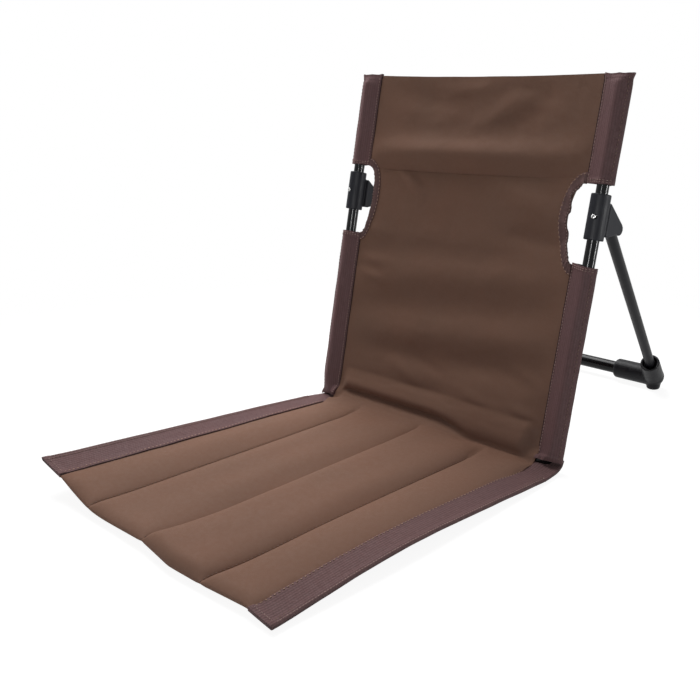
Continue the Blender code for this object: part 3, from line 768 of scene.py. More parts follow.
def line_mesh(name: str, lines: Sequence[Sequence[Vector]]) -> bpy.types.Mesh:
    """Loose edges along lines of points.

    Args:
        name: Name of the mesh.
        lines: The lines.

    Returns:
        The mesh.
    """
    verts, edges = [], []
    for line in lines:
        first = len(verts)
        verts += [tuple(point) for point in line]
        edges += [(first + step, first + step + 1) for step in range(len(line) - 1)]
    mesh = bpy.data.meshes.new(name)
    mesh.from_pydata(verts, edges, [])
    return mesh


def through_tree(
    shop: Workshop, name: str, lines: Sequence[Sequence[Vector]], tree: LineTree, values: dict
) -> bpy.types.Object:
    """Run lines through a Geometry Nodes tree and keep the plain mesh.

    Args:
        shop: Where the object is linked.
        name: Name of the piece.
        lines: Lines of points.
        tree: The tree.
        values: Values for its named inputs.

    Returns:
        The object, with no modifier left.
    """
    obj = shop.link(name, line_mesh(name, lines), None)
    modifier = obj.modifiers.new("nodes", "NODES")
    modifier.node_group = tree.tree
    for label, value in values.items():
        modifier[tree.sockets[label]] = value
    return shop.settle(obj)


class Thread(Enum):
    """Kinds of stitches: name, pitch, length and thread radius."""

    EDGE = ("edge", 0.0038, 0.0026, 0.00046)
    RIM = ("rim", 0.0054, 0.0030, 0.00062)
    SEAM = ("seam", 0.0048, 0.0028, 0.00044)
    # Long near-black stitches that run together as one line: painted shade at the inner edges of sleeves and
    # webbing.
    WELT = ("welt", 0.0044, 0.0056, 0.00070)


@dataclass
class SewingBox:
    """Lines of stitches, gathered by body and thread until they are sewn."""

    shop: Workshop
    finishes: Finishes
    lines: dict = field(default_factory=dict)

    def add(self, body: Body, line: Sequence[Vector], thread: Thread = Thread.EDGE) -> None:
        """Keep a line of stitches for later.

        Args:
            body: Body that the line lies on.
            line: Points of the line.
            thread: Kind of stitches.
        """
        self.lines.setdefault((body, thread), []).append(list(line))

    def sew(self) -> None:
        """Make one piece of stitches for each body and thread."""
        tree = StitchTree()
        for (body, thread), lines in self.lines.items():
            word, pitch, length, radius = thread.value
            values = {"Pitch": pitch, "Stitch Length": length, "Thread Radius": radius}
            values["Thread"] = self.finishes.threads[word]
            obj = through_tree(self.shop, f"{body.value}_{word}_stitches", lines, tree, values)
            self.shop.ride(obj, body, "webbing")


@dataclass
class Tubes:
    """Painted tubes: the bent back tube, the legs and the cross tube."""

    shop: Workshop
    finishes: Finishes
    tree: TubeTree = field(default_factory=TubeTree)
    sides: int = 40
    leg_past_pivot: float = 0.0045
    leg_short_of_foot: float = 0.008
    cross_in_foot: float = 0.028

    def sweep(
        self, name: str, body: Body, node: str, line: Sequence[Vector], radius: float, bend: float = 0.0
    ) -> None:
        """One tube: the legs are satin, the others glossy.

        Args:
            name: Name of the piece.
            body: Body that it rides on.
            node: Solid that it stands for.
            line: Corners of its path.
            radius: Its outer radius.
            bend: Radius of its bends.
        """
        slot = "dark_tube" if node.endswith("leg") else "black_tube"
        paint = self.finishes.dark_tube if node.endswith("leg") else self.finishes.black_tube
        values = {"Radius": radius, "Bend Radius": bend, "Sides": self.sides, "Paint": paint}
        self.shop.ride(through_tree(self.shop, name, [line], self.tree, values), body, slot, node)

    def build(self) -> None:
        """Sweep every tube."""
        s = SIZES
        corners = [(-s.tube_x, s.tube_top), (-s.tube_x, 0.0), (s.tube_x, 0.0), (s.tube_x, s.tube_top)]
        path = [s.back(x, 0, up) for x, up in corners]
        self.sweep("frame_tube", Body.BACK, "back_frame_tube", path, s.tube_r, s.bend_radius)
        for side in Side:
            top = s.back(side.value * s.tube_x, s.pivot_back, s.pivot_rise)
            foot = Vector((side.value * s.foot_spread, s.bar_y + s.foot_back, s.foot_z))
            down = (foot - top).normalized()
            path = [top - down * self.leg_past_pivot, foot - down * self.leg_short_of_foot]
            self.sweep(side.word + "_stand_leg", Body.STAND, side.word + "_leg", path, s.leg_r)
        reach = s.foot_spread - self.cross_in_foot
        path = [Vector((x, s.bar_y + s.foot_back, s.foot_z)) for x in (-reach, reach)]
        self.sweep("stand_cross_tube", Body.STAND, "rear_cross_tube", path, s.cross_r)


@dataclass
class Mouldings:
    """Plastic brackets and feet with soft moulded edges, and the plugs, pins and rivets in them."""

    shop: Workshop
    finishes: Finishes
    voxel: float = 0.0006
    rounds: int = 5
    rivet_turn: float = math.radians(9)
    rivet_seat: float = 0.0123
    rivet_sides: int = 40
    rivet_profile: Points = (
        (0.0, -0.0040), (0.0015, -0.0040), (0.0015, 0.0), (0.00267, 0.0), (0.00270, 0.00045),
        (0.00255, 0.00095), (0.00220, 0.00130), (0.00180, 0.00142), (0.00145, 0.00130),
        (0.00128, 0.00095), (0.00105, 0.00020), (0.00100, -0.0020), (0.0, -0.0021),
    )

    def fitting(self, name: str, node: str, body: Body, finish: bpy.types.Material, rounds: int = 0) -> None:
        """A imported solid, smooth but for its sharp edges, or rounded off all over.

        Args:
            name: Name of the piece.
            node: Solid that it is made from.
            body: Body that it rides on.
            finish: Its material.
            rounds: How often its facets and corners are smoothed, if at all.
        """
        bm = bmesh.new()
        bm.from_mesh(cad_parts[node].data)
        bmesh.ops.remove_doubles(bm, verts=bm.verts, dist=1e-6)
        obj = self.shop.link(name, smooth_mesh(name, bm, 32), finish)
        if rounds:
            remesh = obj.modifiers.new("remesh", "REMESH")
            remesh.mode = "VOXEL"
            remesh.voxel_size = self.voxel
            remesh.use_smooth_shade = True
            soften = obj.modifiers.new("soften", "SMOOTH")
            soften.factor = 0.5
            soften.iterations = rounds
            self.shop.settle(obj)
        slot = "bright_steel" if finish is self.finishes.steel else "black_plastic"
        self.shop.ride(obj, body, slot, node)

    def rivet(self, side: Side) -> None:
        """Hollow rivet with a rolled head, on the front of the bracket and a little to its outside.

        Args:
            side: The bracket's side.
        """
        s = SIZES
        base = s.back(side.value * s.tube_x, 0, s.bracket_centre)
        aside, ahead = math.sin(self.rivet_turn), math.cos(self.rivet_turn)
        tip = s.back(side.value * (s.tube_x + aside), -ahead, s.bracket_centre)
        axis = (tip - base).normalized()
        bm = bmesh.new()
        rings = []
        for radius, height in self.rivet_profile:
            count = 1 if radius < 1e-6 else self.rivet_sides
            angles = [math.tau * step / self.rivet_sides for step in range(count)]
            rings.append([bm.verts.new((radius * math.cos(a), radius * math.sin(a), height)) for a in angles])
        for low, high in zip(rings, rings[1:]):
            for step in range(self.rivet_sides):
                after = (step + 1) % self.rivet_sides
                corners = [low[step % len(low)], low[after % len(low)]]
                corners += [high[after % len(high)], high[step % len(high)]]
                bm.faces.new(list(dict.fromkeys(corners)))
        turn = axis.to_track_quat("Z", "Y").to_matrix().to_4x4()
        bm.transform(Matrix.Translation(base + axis * self.rivet_seat) @ turn)
        bmesh.ops.recalc_face_normals(bm, faces=bm.faces)
        name = side.word + "_rivet_head"
        obj = self.shop.link(name, smooth_mesh(name, bm, 35), self.finishes.steel)
        self.shop.ride(obj, Body.BACK, "bright_steel", side.word + "_bracket_rivet")

    def build(self) -> None:
        """Make every moulding and fitting."""
        plastic, steel = self.finishes.plastic, self.finishes.steel
        foot, rounds = self.finishes.foot_plastic, self.rounds
        for side in Side:
            word = side.word
            self.fitting(word + "_pivot_bracket", word + "_bracket", Body.BACK, plastic, rounds)
            self.fitting(word + "_corner_foot", word + "_foot", Body.STAND, foot, 4 * rounds)
            self.rivet(side)
            self.fitting(word + "_hinge_pin", word + "_pivot_pin", Body.BACK, steel)
            self.fitting(word + "_tube_plug", word + "_upright_plug", Body.BACK, plastic)
            self.fitting(word + "_stand_plug", word + "_leg_plug", Body.STAND, plastic)


def sleeve_profile(u: float, outer: float, inner: float, bulge: float) -> float:
    """Half the thickness of a sleeve at a place across it.

    Args:
        u: Distance from the tube's axis, outwards.
        outer: Distance to the outer edge.
        inner: Distance to the inner edge.
        bulge: Share of the tube's roundness that shows.

    Returns:
        Half of the thickness there.
    """
    edge = SIZES.sleeve_edge
    radius = SIZES.sleeve_r
    half = outer if u > 0 else inner
    lean = math.atan2(edge, half) + math.acos(min(1.0, radius / math.hypot(half, edge)))
    touch = radius * math.cos(lean)
    place = abs(u)
    if place <= touch:
        thick = math.sqrt(radius * radius - place * place)
    else:
        share = min(1.0, (place - touch) / (half - touch))
        thick = radius * math.sin(lean) * (1 - share) + edge * share
    return edge + bulge * (thick - edge)


def sleeve_ring(outer: float, inner: float, bulge: float, count: int = 26) -> Pairs:
    """Cross-section of a sleeve, round from the outer edge over the front.

    Args:
        outer: Distance from the tube's axis to the outer edge.
        inner: Distance to the inner edge.
        bulge: Share of the tube's roundness that shows.
        count: Steps across each face.

    Returns:
        (outwards, to the rear) pairs.
    """
    edge = SIZES.sleeve_edge
    front = []
    for step in range(count + 1):
        share = step / count
        eased = share - math.sin(math.tau * share) / (math.tau * 2.6)
        u = outer - edge * 0.6 - (outer + inner - edge * 1.2) * eased
        front.append((u, -sleeve_profile(u, outer, inner, bulge)))
    tip = [(-inner, -edge * 0.5), (-inner - 0.0002, 0.0), (-inner, edge * 0.5)]
    rear = [(u, -v) for u, v in reversed(front)]
    heel = [(outer, edge * 0.5), (outer + 0.0002, 0.0), (outer, -edge * 0.5)]
    return front + tip + rear + heel


def tube_shift(up: float) -> float:
    """How far inwards the bent tube lies at a height near the bottom bar."""
    bend = SIZES.bend_radius
    return math.sqrt(max(0.0, bend**2 - (bend - up) ** 2)) - bend if up < bend else 0.0


def crisp(obj: bpy.types.Object, angle: float = 42.0) -> None:
    """Shade an object smooth but for edges sharper than an angle in degrees."""
    obj.data.set_sharp_from_angle(angle=math.radians(angle))


def thicken(shop: Workshop, obj: bpy.types.Object, cloth: float, offset: float) -> None:
    """Give a surface its cloth's thickness.

    Args:
        shop: Where the object is settled.
        obj: The surface.
        cloth: The thickness.
        offset: -1 to thicken inwards, 0 to both sides.
    """
    wall = obj.modifiers.new("wall", "SOLIDIFY")
    wall.thickness = cloth
    wall.offset = offset
    crisp(shop.settle(obj))


@dataclass(frozen=True)
class SleeveRun:
    """One sleeve on an upright: its ends, whether its top is closed, and its form."""

    side: Side
    low: float
    high: float
    closed: bool
    hem: float = 0.0072
    thread_lift: float = 0.00040

    @property
    def word(self) -> str:
        """Which of the two sleeves of its upright it is."""
        return "upper" if self.closed else "lower"

    def point(self, u: float, out: float, up: float) -> Vector:
        """A point, given outwards from the upright, to the rear and up."""
        return SIZES.back(self.side.value * (SIZES.tube_x + u), out, up)

    def edges(self, up: float) -> tuple[float, float]:
        """Edges of a sleeve at a height.

        Args:
            up: Height along the upright.

        Returns:
            Distance from the tube's axis to the outer and to the inner edge.
        """
        side, low, high = self.side, self.low, self.high
        outer, inner = SIZES.sleeve_inset, SIZES.sleeve_width - SIZES.sleeve_inset
        if self.closed:
            outer += 0.0010 * smoothstep(high - 0.006, high, up) - 0.0006 * bell(up, high - 0.008, 0.004)
            inner += 0.0012 * smoothstep(high - 0.008, high, up)
        elif side is Side.LEFT:
            outer -= 0.0034 * (1 - smoothstep(low + 0.008, low + 0.034, up))
            outer += 0.0040 * (1 - smoothstep(low, low + 0.009, up))
        else:
            outer -= 0.0016
        outer += 0.0005 * ruffle(up * 38, side.value * 3.1, low * 50)
        inner += 0.0004 * ruffle(up * 45, side.value * 7.7, low * 50)
        return outer, inner

    def section(self, up: float) -> Pairs:
        """Cross-section of a sleeve at a height, with its hems, its wrinkles and its ears at the top.

        Args:
            up: Height along the upright.

        Returns:
            (outwards, to the rear) pairs.
        """
        side, low, high = self.side, self.low, self.high
        outer, inner = self.edges(up)
        bulge = 1 - 0.72 * smoothstep(high - 0.0125, high - 0.001, up) if self.closed else 1.0
        shift = tube_shift(max(0.0, up - 0.001)) * 0.85
        from_end = min(up - low, high - up)
        hemmed = 0.0006 * (1 - smoothstep(self.hem - 0.0012, self.hem, from_end))
        drawn = 0.0 if self.closed else side.pick(0.22, 0.05)
        rounded = 1 - drawn * (1 - smoothstep(0.0, 0.0045, up - low))
        wrapped = SIZES.sleeve_r + side.pick(0.0030, 0.0018)
        bar = math.sqrt(max(0.0, wrapped**2 - max(0.0, up) ** 2))
        ring = []
        for place, v in sleeve_ring(outer - shift, inner + shift, bulge):
            u = place + shift
            crumple = 0.00030 * ruffle(u * 130 + side.value * 9, up * 60, low * 90 + (5 if v > 0 else 0))
            crumple += 0.00026 * ruffle(u * 420 + side.value * 3, up * 22, low * 40)
            size = (abs(v) + hemmed * (1 if abs(place) < 0.012 else 0.6)) * rounded
            size = max(size, bar * rounded * (1 - smoothstep(-0.0165, -0.0105, u)))
            size += crumple if abs(v) > 0.0017 else 0.0
            ring.append((u, math.copysign(size, v) if v else 0.0))
        return ring

    def level(self, u: float, up: float) -> float:
        """Height of a point of the sleeve, with a slanting foot and raised corners at the top.

        Args:
            u: Distance outwards from the upright.
            up: Height before the slant.

        Returns:
            Its height along the upright.
        """
        side, low, high = self.side, self.low, self.high
        if self.closed:
            top = smoothstep(high - 0.005, high, up)
            wave = 0.0005 * ruffle(u * 160, side.value * 4.0, 2.0)
            ears = 0.0007 * smoothstep(0.009, 0.016, u) + 0.0009 * smoothstep(0.017, 0.023, -u)
            return up - side.pick(-0.0006, 0.0010) * top + top * (ears + wave)
        inner = SIZES.sleeve_width - SIZES.sleeve_inset
        outward_slant = side.pick(-0.0030, 0.0002) * u / SIZES.sleeve_inset
        inward_slant = side.pick(-0.0004, 0.0008) * u / inner
        slant = outward_slant if u > 0 else inward_slant
        hem = side.pick(0.0, 0.0032) * max(0.0, -u) / inner * smoothstep(high - 0.030, high, up)
        return up + hem + slant * (1 - smoothstep(low, low + side.pick(0.022, 0.035), up))

    def heights(self) -> list[float]:
        """Heights of the cross-sections, closer at both hems.

        Returns:
            The heights from foot to top.
        """
        near = [0.0, 0.0006, 0.0016, 0.003, 0.0045, self.hem - 0.0012, self.hem - 0.0004, self.hem + 0.0004]
        span = self.high - self.low - 2 * self.hem - 0.004
        count = round(span / 0.0035)
        middle = [self.low + self.hem + 0.002 + span * step / count for step in range(count + 1)]
        return [self.low + step for step in near] + middle + [self.high - step for step in reversed(near)]

    def on_face(self, u: float, up: float, face: int) -> Vector:
        """A point just off the sleeve's front or rear.

        Args:
            u: Distance outwards from the upright.
            up: Height along it.
            face: -1 for the front, 1 for the rear.

        Returns:
            The point.
        """
        front = sorted((p, -q) for p, q in self.section(up) if q < 0)
        depth = face * (between(front, u) + self.thread_lift)
        return self.point(u, depth, self.level(u, up))


@dataclass
class Sleeves:
    """Webbing sleeves over the uprights: folded tape sewn flat at both edges, hemmed at its ends."""

    shop: Workshop
    finishes: Finishes
    box: SewingBox
    lower_feet: tuple[float, float] = (-0.0034, 0.0046)
    lower_top: float = 0.2435
    upper_foot: float = 0.3405
    cloth: float = 0.0012
    outer_seam: float = 0.0032
    inner_seam: float = 0.0022
    hem_rows: tuple[float, float] = (0.0045, 0.0022)

    def sleeve(self, run: SleeveRun) -> None:
        """One sleeve, with its stitch lines.

        Args:
            run: The sleeve.
        """
        points, flat = [], []
        for up in run.heights():
            ring = run.section(up)
            ripple = 0.0006 * (1 - smoothstep(0.0, 0.012, min(up - run.low, run.high - up)))
            line = []
            for u, v in ring:
                lift = ripple * ruffle(u * 150, v * 80, up * 10 + run.side.value * 4)
                line.append(run.point(u, v, run.level(u, up) + lift))
            points.append(line)
            steps = (math.hypot(p - u, q - v) for (u, v), (p, q) in zip(ring, ring[1:] + ring[:1]))
            flat.append([(length, up) for length in (0.0, *accumulate(steps))])
        name = f"{run.side.word}_{run.word}_webbing_sleeve"
        cap = SIZES.back(0, 0, run.high).z - 0.008 if run.closed else None
        mesh = outward(grid_mesh(name, points, flat, ring=True), cap)
        obj = self.shop.link(name, mesh, self.finishes.sleeve)
        thicken(self.shop, obj, self.cloth, -1)
        self.shop.ride(obj, Body.BACK, "webbing", f"{run.side.word}_{run.word}_sleeve")
        self.stitch(run)

    def stitch(self, run: SleeveRun) -> None:
        """Stitches along both edges and across one hem, front and rear, and a near-black thread line along
        the inner edge that paints the shade of the gap there.

        Args:
            run: The sleeve.
        """
        low, length = run.low + 0.006, run.high - run.low - 0.012
        steps = round(length / 0.004)
        hems = [run.low + row if run.closed else run.high - row for row in self.hem_rows]
        for face in (-1, 1):
            for thread in (Thread.SEAM, Thread.EDGE):
                line = []
                for step in range(steps + 1):
                    up = low + length * step / steps
                    outer, inner = run.edges(up)
                    u = outer - self.outer_seam if thread is Thread.SEAM else -inner + self.inner_seam
                    line.append(run.on_face(u, up, face))
                self.box.add(Body.BACK, line, thread)
            for up in hems:
                outer, inner = run.edges(up)
                across = [outer - 0.003 - (outer + inner - 0.006) * step / 18 for step in range(19)]
                self.box.add(Body.BACK, [run.on_face(u, up, face) for u in across])
        # Near-black line just off the inner edge, in front of the cloth: painted shade for the gap between
        # sleeve and cloth.
        foot = max(run.low, 0.0)
        welt = []
        for step in range(61):
            up = foot + 0.010 + (run.high - foot - 0.014) * step / 60
            welt.append(run.point(-run.edges(up)[1] - 0.0003, -0.0009, up))
        self.box.add(Body.BACK, welt, Thread.WELT)

    def build(self) -> None:
        """Make the four sleeves."""
        for side in Side:
            self.sleeve(SleeveRun(side, side.pick(*self.lower_feet), self.lower_top, closed=False))
            self.sleeve(SleeveRun(side, self.upper_foot, SIZES.back_length, closed=True))


@dataclass(frozen=True)
class SeatForm:
    """The seat's soft form: channels between seams, a raised rim and a hem at the front."""

    half: float = 0.1850
    rear: float = 0.2040
    lap: float = 0.1740
    lap_sink: float = 0.0022
    hem_roll: float = 0.016
    hem_height: float = 0.0038
    hem_power: float = 2.1
    left_reach: float = 0.170
    right_reach: float = 0.150
    front_reach: float = 0.110
    channel_tops: tuple[float, ...] = (0.0098, 0.0110, 0.0148, 0.0100)
    seam_tops: tuple[float, ...] = (0.0032, 0.0050, 0.0050, 0.0042, 0.0046)
    left_slopes: Points = ((1.6, 1.0), (9.0, 0.60), (9.0, 0.60), (8.0, 0.60))
    right_slopes: Points = ((7.0, 0.68), (6.5, 0.70), (5.4, 0.78), (4.0, 0.8))
    front_points: Points = (
        (-0.2202, -0.2192), (-0.183, -0.2165), (-0.112, -0.2208), (0.0, -0.2198), (0.060, -0.2264),
        (0.112, -0.2236), (0.178, -0.2186), (0.2202, -0.2206),
    )
    front_rise: Points = (
        (-0.22, 0.0080), (-0.112, 0.0055), (0.0, 0.0095), (0.060, 0.0066), (0.112, 0.0058),
        (0.178, 0.0072), (0.2202, 0.0022),
    )
    side_rise: Points = (
        (0.0, 0.0), (0.30, 0.0078), (0.55, 0.0134), (0.70, 0.0120), (0.80, 0.0092), (0.90, 0.0058),
        (1.0, 0.0012),
    )

    def seams(self) -> list[float]:
        """Places of the pad's edges and of the three seams."""
        return [-self.half, -SIZES.seam_spread, 0.0, SIZES.seam_spread, self.half]

    def front(self, x: float) -> float:
        """Place of the front edge."""
        return sum(between(self.front_points, x + step) for step in (-0.004, 0.0, 0.004)) / 3

    def lift(self, x: float, y: float) -> float:
        """How far the rim stands off the floor.

        Args:
            x: Place across the chair.
            y: Place along it.

        Returns:
            The height of the seat's underside.
        """
        ahead = min(1.0, max(0.0, (SIZES.crease_y - y) / SIZES.seat_length))
        half = SIZES.width / 2
        left = max(0.0, (self.left_reach - half - x) / self.left_reach)
        right = max(0.0, (x - half + self.right_reach) / self.right_reach)
        front = max(0.0, 1 - (1 - ahead) * SIZES.seat_length / self.front_reach)
        curl = (0.0368 * ahead + 0.0008 * smoothstep(0.0, 0.3, ahead)) * left**1.7
        eased = [between(self.side_rise, ahead + step) for step in (-0.06, -0.03, 0.0, 0.03, 0.06)]
        side = sum(eased) / 5 * right
        return math.sqrt(curl**2 + side**2 + (between(self.front_rise, x) * front**2) ** 2)

    def crown(self, x: float) -> float:
        """Height of the pad's upper side above its underside, away from its ends.

        Args:
            x: Place across the chair.

        Returns:
            The height there.
        """
        seams = self.seams()
        index = next(step for step in range(4) if x <= seams[step + 1] or step == 3)
        share = min(1.0, max(0.0, (x - seams[index]) / (seams[index + 1] - seams[index])))
        top = self.channel_tops[index]
        fall, bend = (self.left_slopes if share < 0.5 else self.right_slopes)[index]
        low = self.seam_tops[index + (share > 0.5)]
        return low + (top - low) * max(0.0, 1 - abs(2 * share - 1) ** fall) ** bend

    def height(self, x: float, y: float) -> float:
        """Height of the pad's upper side above its underside, round at the front and low under the lap.

        Args:
            x: Place across the chair.
            y: Place along it.

        Returns:
            The height there.
        """
        ahead = min(1.0, max(0.0, (y - self.front(x)) / self.hem_roll))
        rounded = 1 - (1 - ahead) ** self.hem_power
        crown = self.hem_height + (self.crown(x) - self.hem_height) * rounded
        return crown - self.lap_sink * smoothstep(self.lap + 0.018, self.rear, y)


SEAT = SeatForm()


@dataclass
class SeatPad:
    """Quilted pad: a cover blown up between its seams by cloth simulation, over a flat underside."""

    shop: Workshop
    finishes: Finishes
    channel_columns: tuple[int, ...] = (9, 16, 16, 9)
    rows: int = 94
    pressure: float = 3.0
    frames: int = 18
    cap: float = 0.0045
    stiffness: float = 20.0
    bending: float = 4.0
    under: float = 0.0007

    def columns(self) -> list[float]:
        """Places of the columns, with one on each seam.

        Returns:
            The places from left to right.
        """
        seams = SEAT.seams()
        lines = []
        near = (0.0, 0.0013, 0.0028, 0.0048, 0.0076, 0.0112)
        for low, high, count in zip(seams, seams[1:], self.channel_columns):
            start, end = low + near[-1], high - near[-1]
            lines += [low + step for step in near[:-1]]
            lines += [start + (end - start) * step / count for step in range(count)]
            lines += [high - step for step in reversed(near[1:])]
        return lines + [seams[-1]]

    def grid(self) -> tuple[list[Vector], list[tuple[int, ...]], list[bool], int]:
        """Flat-lying pad before it is blown up.

        Returns:
            Its points, faces, whether each point is held, and how many points its upper side has.
        """
        columns = self.columns()
        seams = SEAT.seams()
        wide, deep = len(columns), self.rows + 1
        points, held = [], []
        for upper in (True, False):
            for row in range(deep):
                for x in columns:
                    front = SEAT.front(x)
                    y = front + (SEAT.rear - front) * row / self.rows
                    z = SEAT.height(x, y) if upper else self.under
                    points.append(Vector((x, y, z)))
                    seam = any(abs(x - line) < 1e-6 for line in seams)
                    held.append(not upper or seam or row == 0 or y > SEAT.rear - 0.003)
        faces = []
        count = wide * deep
        for row in range(self.rows):
            for column in range(wide - 1):
                a = row * wide + column
                faces.append((a, a + 1, a + wide + 1, a + wide))
                faces.append((count + a, count + a + wide, count + a + wide + 1, count + a + 1))
        rim = list(range(wide))
        rim += [row * wide + wide - 1 for row in range(1, deep)]
        rim += [self.rows * wide + column for column in range(wide - 2, -1, -1)]
        rim += [row * wide for row in range(self.rows - 1, 0, -1)]
        for a, b in zip(rim, rim[1:] + rim[:1]):
            faces.append((a, count + a, count + b, b))
        return points, faces, held, count

    def blown(self, points: list[Vector], faces: list[tuple[int, ...]], held: list[bool]) -> list[Vector]:
        """The pad's points after the cover is blown up between its seams.

        Args:
            points: Points before.
            faces: The pad's faces.
            held: Points that the seams and the floor hold.

        Returns:
            Points after, none moved further than the cap.
        """
        mesh = bpy.data.meshes.new("pad_under_pressure")
        mesh.from_pydata([tuple(point) for point in points], [], faces)
        obj = self.shop.link("pad_under_pressure", outward(mesh), None)
        group = obj.vertex_groups.new(name="held")
        group.add([index for index, flag in enumerate(held) if flag], 1.0, "REPLACE")
        cloth = obj.modifiers.new("cloth", "CLOTH")
        settings = cloth.settings
        settings.vertex_group_mass = "held"
        settings.quality = 6
        settings.use_pressure = True
        settings.uniform_pressure_force = self.pressure
        settings.shrink_min = 0.0
        settings.tension_stiffness = self.stiffness
        settings.compression_stiffness = self.stiffness
        settings.bending_stiffness = self.bending
        settings.effector_weights.gravity = 0.0
        cloth.collision_settings.use_collision = False
        cloth.point_cache.frame_start = 1
        cloth.point_cache.frame_end = self.frames
        scene = bpy.context.scene
        for step in range(1, self.frames + 1):
            scene.frame_set(step)
        graph = bpy.context.evaluated_depsgraph_get()
        after = [vert.co.copy() for vert in obj.evaluated_get(graph).data.vertices]
        bpy.data.objects.remove(obj, do_unlink=True)
        bpy.data.meshes.remove(mesh)
        scene.frame_set(1)
        moved = []
        for before, now, flag in zip(points, after, held):
            shift = Vector() if flag else now - before
            if shift.length > self.cap:
                shift = shift * (self.cap / shift.length)
            moved.append(before + shift)
        return moved

    def puckers(self, x: float, y: float) -> float:
        """Small gathers beside the seams and at the front hem.

        Args:
            x: Place across the chair.
            y: Place along it.

        Returns:
            How far they lift the cover.
        """
        depth = 0.0
        for index, seam in enumerate(SEAT.seams()):
            gap = abs(x - seam)
            if gap < 0.03:
                phase = math.tau * y / 0.0125 + 3 * ruffle(y * 40, index * 3.3)
                wave = math.sin(phase) * (0.6 + ruffle(y * 25, index * 7.1))
                depth += 0.00022 * wave * math.exp(-gap / 0.0050) * min(1.0, gap / 0.002)
        depth += 0.00040 * ruffle(x * 20, y * 13, 4.0) + 0.00012 * ruffle(x * 55, y * 40, 8.0)
        return depth

    def build(self) -> bpy.types.Object:
        """Make the pad.

        Returns:
            The pad.
        """
        points, faces, held, count = self.grid()
        moved = self.blown(points, faces, held)
        final = []
        for index, point in enumerate(moved):
            lift = SEAT.lift(point.x, point.y)
            if index < count:
                ahead, behind = point.y - SEAT.front(point.x), SEAT.rear - point.y
                near = smoothstep(0.0, 0.02, ahead) * smoothstep(0.0, 0.02, behind)
                final.append(point + Vector((0, 0, lift + self.puckers(point.x, point.y) * near)))
            else:
                groove = min(abs(point.x - seam) for seam in SEAT.seams())
                final.append(point + Vector((0, 0, lift + 0.0009 * math.exp(-((groove / 0.004) ** 2)))))
        mesh = bpy.data.meshes.new("seat_pad")
        mesh.from_pydata([tuple(point) for point in final], [], faces)
        layer = mesh.uv_layers.new(name=UV_NAME)
        for polygon in mesh.polygons:
            for loop in polygon.loop_indices:
                place = points[mesh.loops[loop].vertex_index]
                layer.data[loop].uv = (place.x, place.y)
            polygon.use_smooth = True
        obj = self.shop.link("seat_pad", outward(mesh), self.finishes.fabric)
        fine = obj.modifiers.new("fine", "SUBSURF")
        fine.levels = fine.render_levels = 1
        self.shop.settle(obj)
        foams = ("left_outer_foam", "left_inner_foam", "right_inner_foam", "right_outer_foam")
        self.shop.ride(obj, Body.SEAT, "seat_fabric", "seat_top_cover", "seat_bottom_cover", *foams)
        return obj


@dataclass(frozen=True)
class Fold:
    """A soft fold in the back's cloth, along a line between two points of (across, up)."""

    start: tuple[float, float]
    end: tuple[float, float]
    width: float
    rise: float

    def at(self, x: float, up: float) -> float:
        """Shift of the cloth at a place.

        Args:
            x: Place across the chair.
            up: Height along the tubes.

        Returns:
            How far the fold moves the cloth to the rear.
        """
        along = Vector((self.end[0] - self.start[0], self.end[1] - self.start[1]))
        off = Vector((x - self.start[0], up - self.start[1]))
        middle = min(1.0, max(0.0, off.dot(along) / along.length_squared))
        gap = (off - along * middle).length
        taper = math.sin(math.pi * (0.12 + 0.76 * middle))
        return self.rise * taper * math.exp(-((gap / self.width) ** 2))


def surface_tree(obj: bpy.types.Object) -> BVHTree:
    """Tree of an object's faces, for plumb lines on to it."""
    places = [vert.co for vert in obj.data.vertices]
    return BVHTree.FromPolygons(places, [face.vertices for face in obj.data.polygons])


def dropped(tree: BVHTree, x: float, y: float) -> Vector | None:
    """Where a plumb line meets a surface, if it does."""
    return tree.ray_cast(Vector((x, y, 0.2)), Vector((0, 0, -1)))[0]


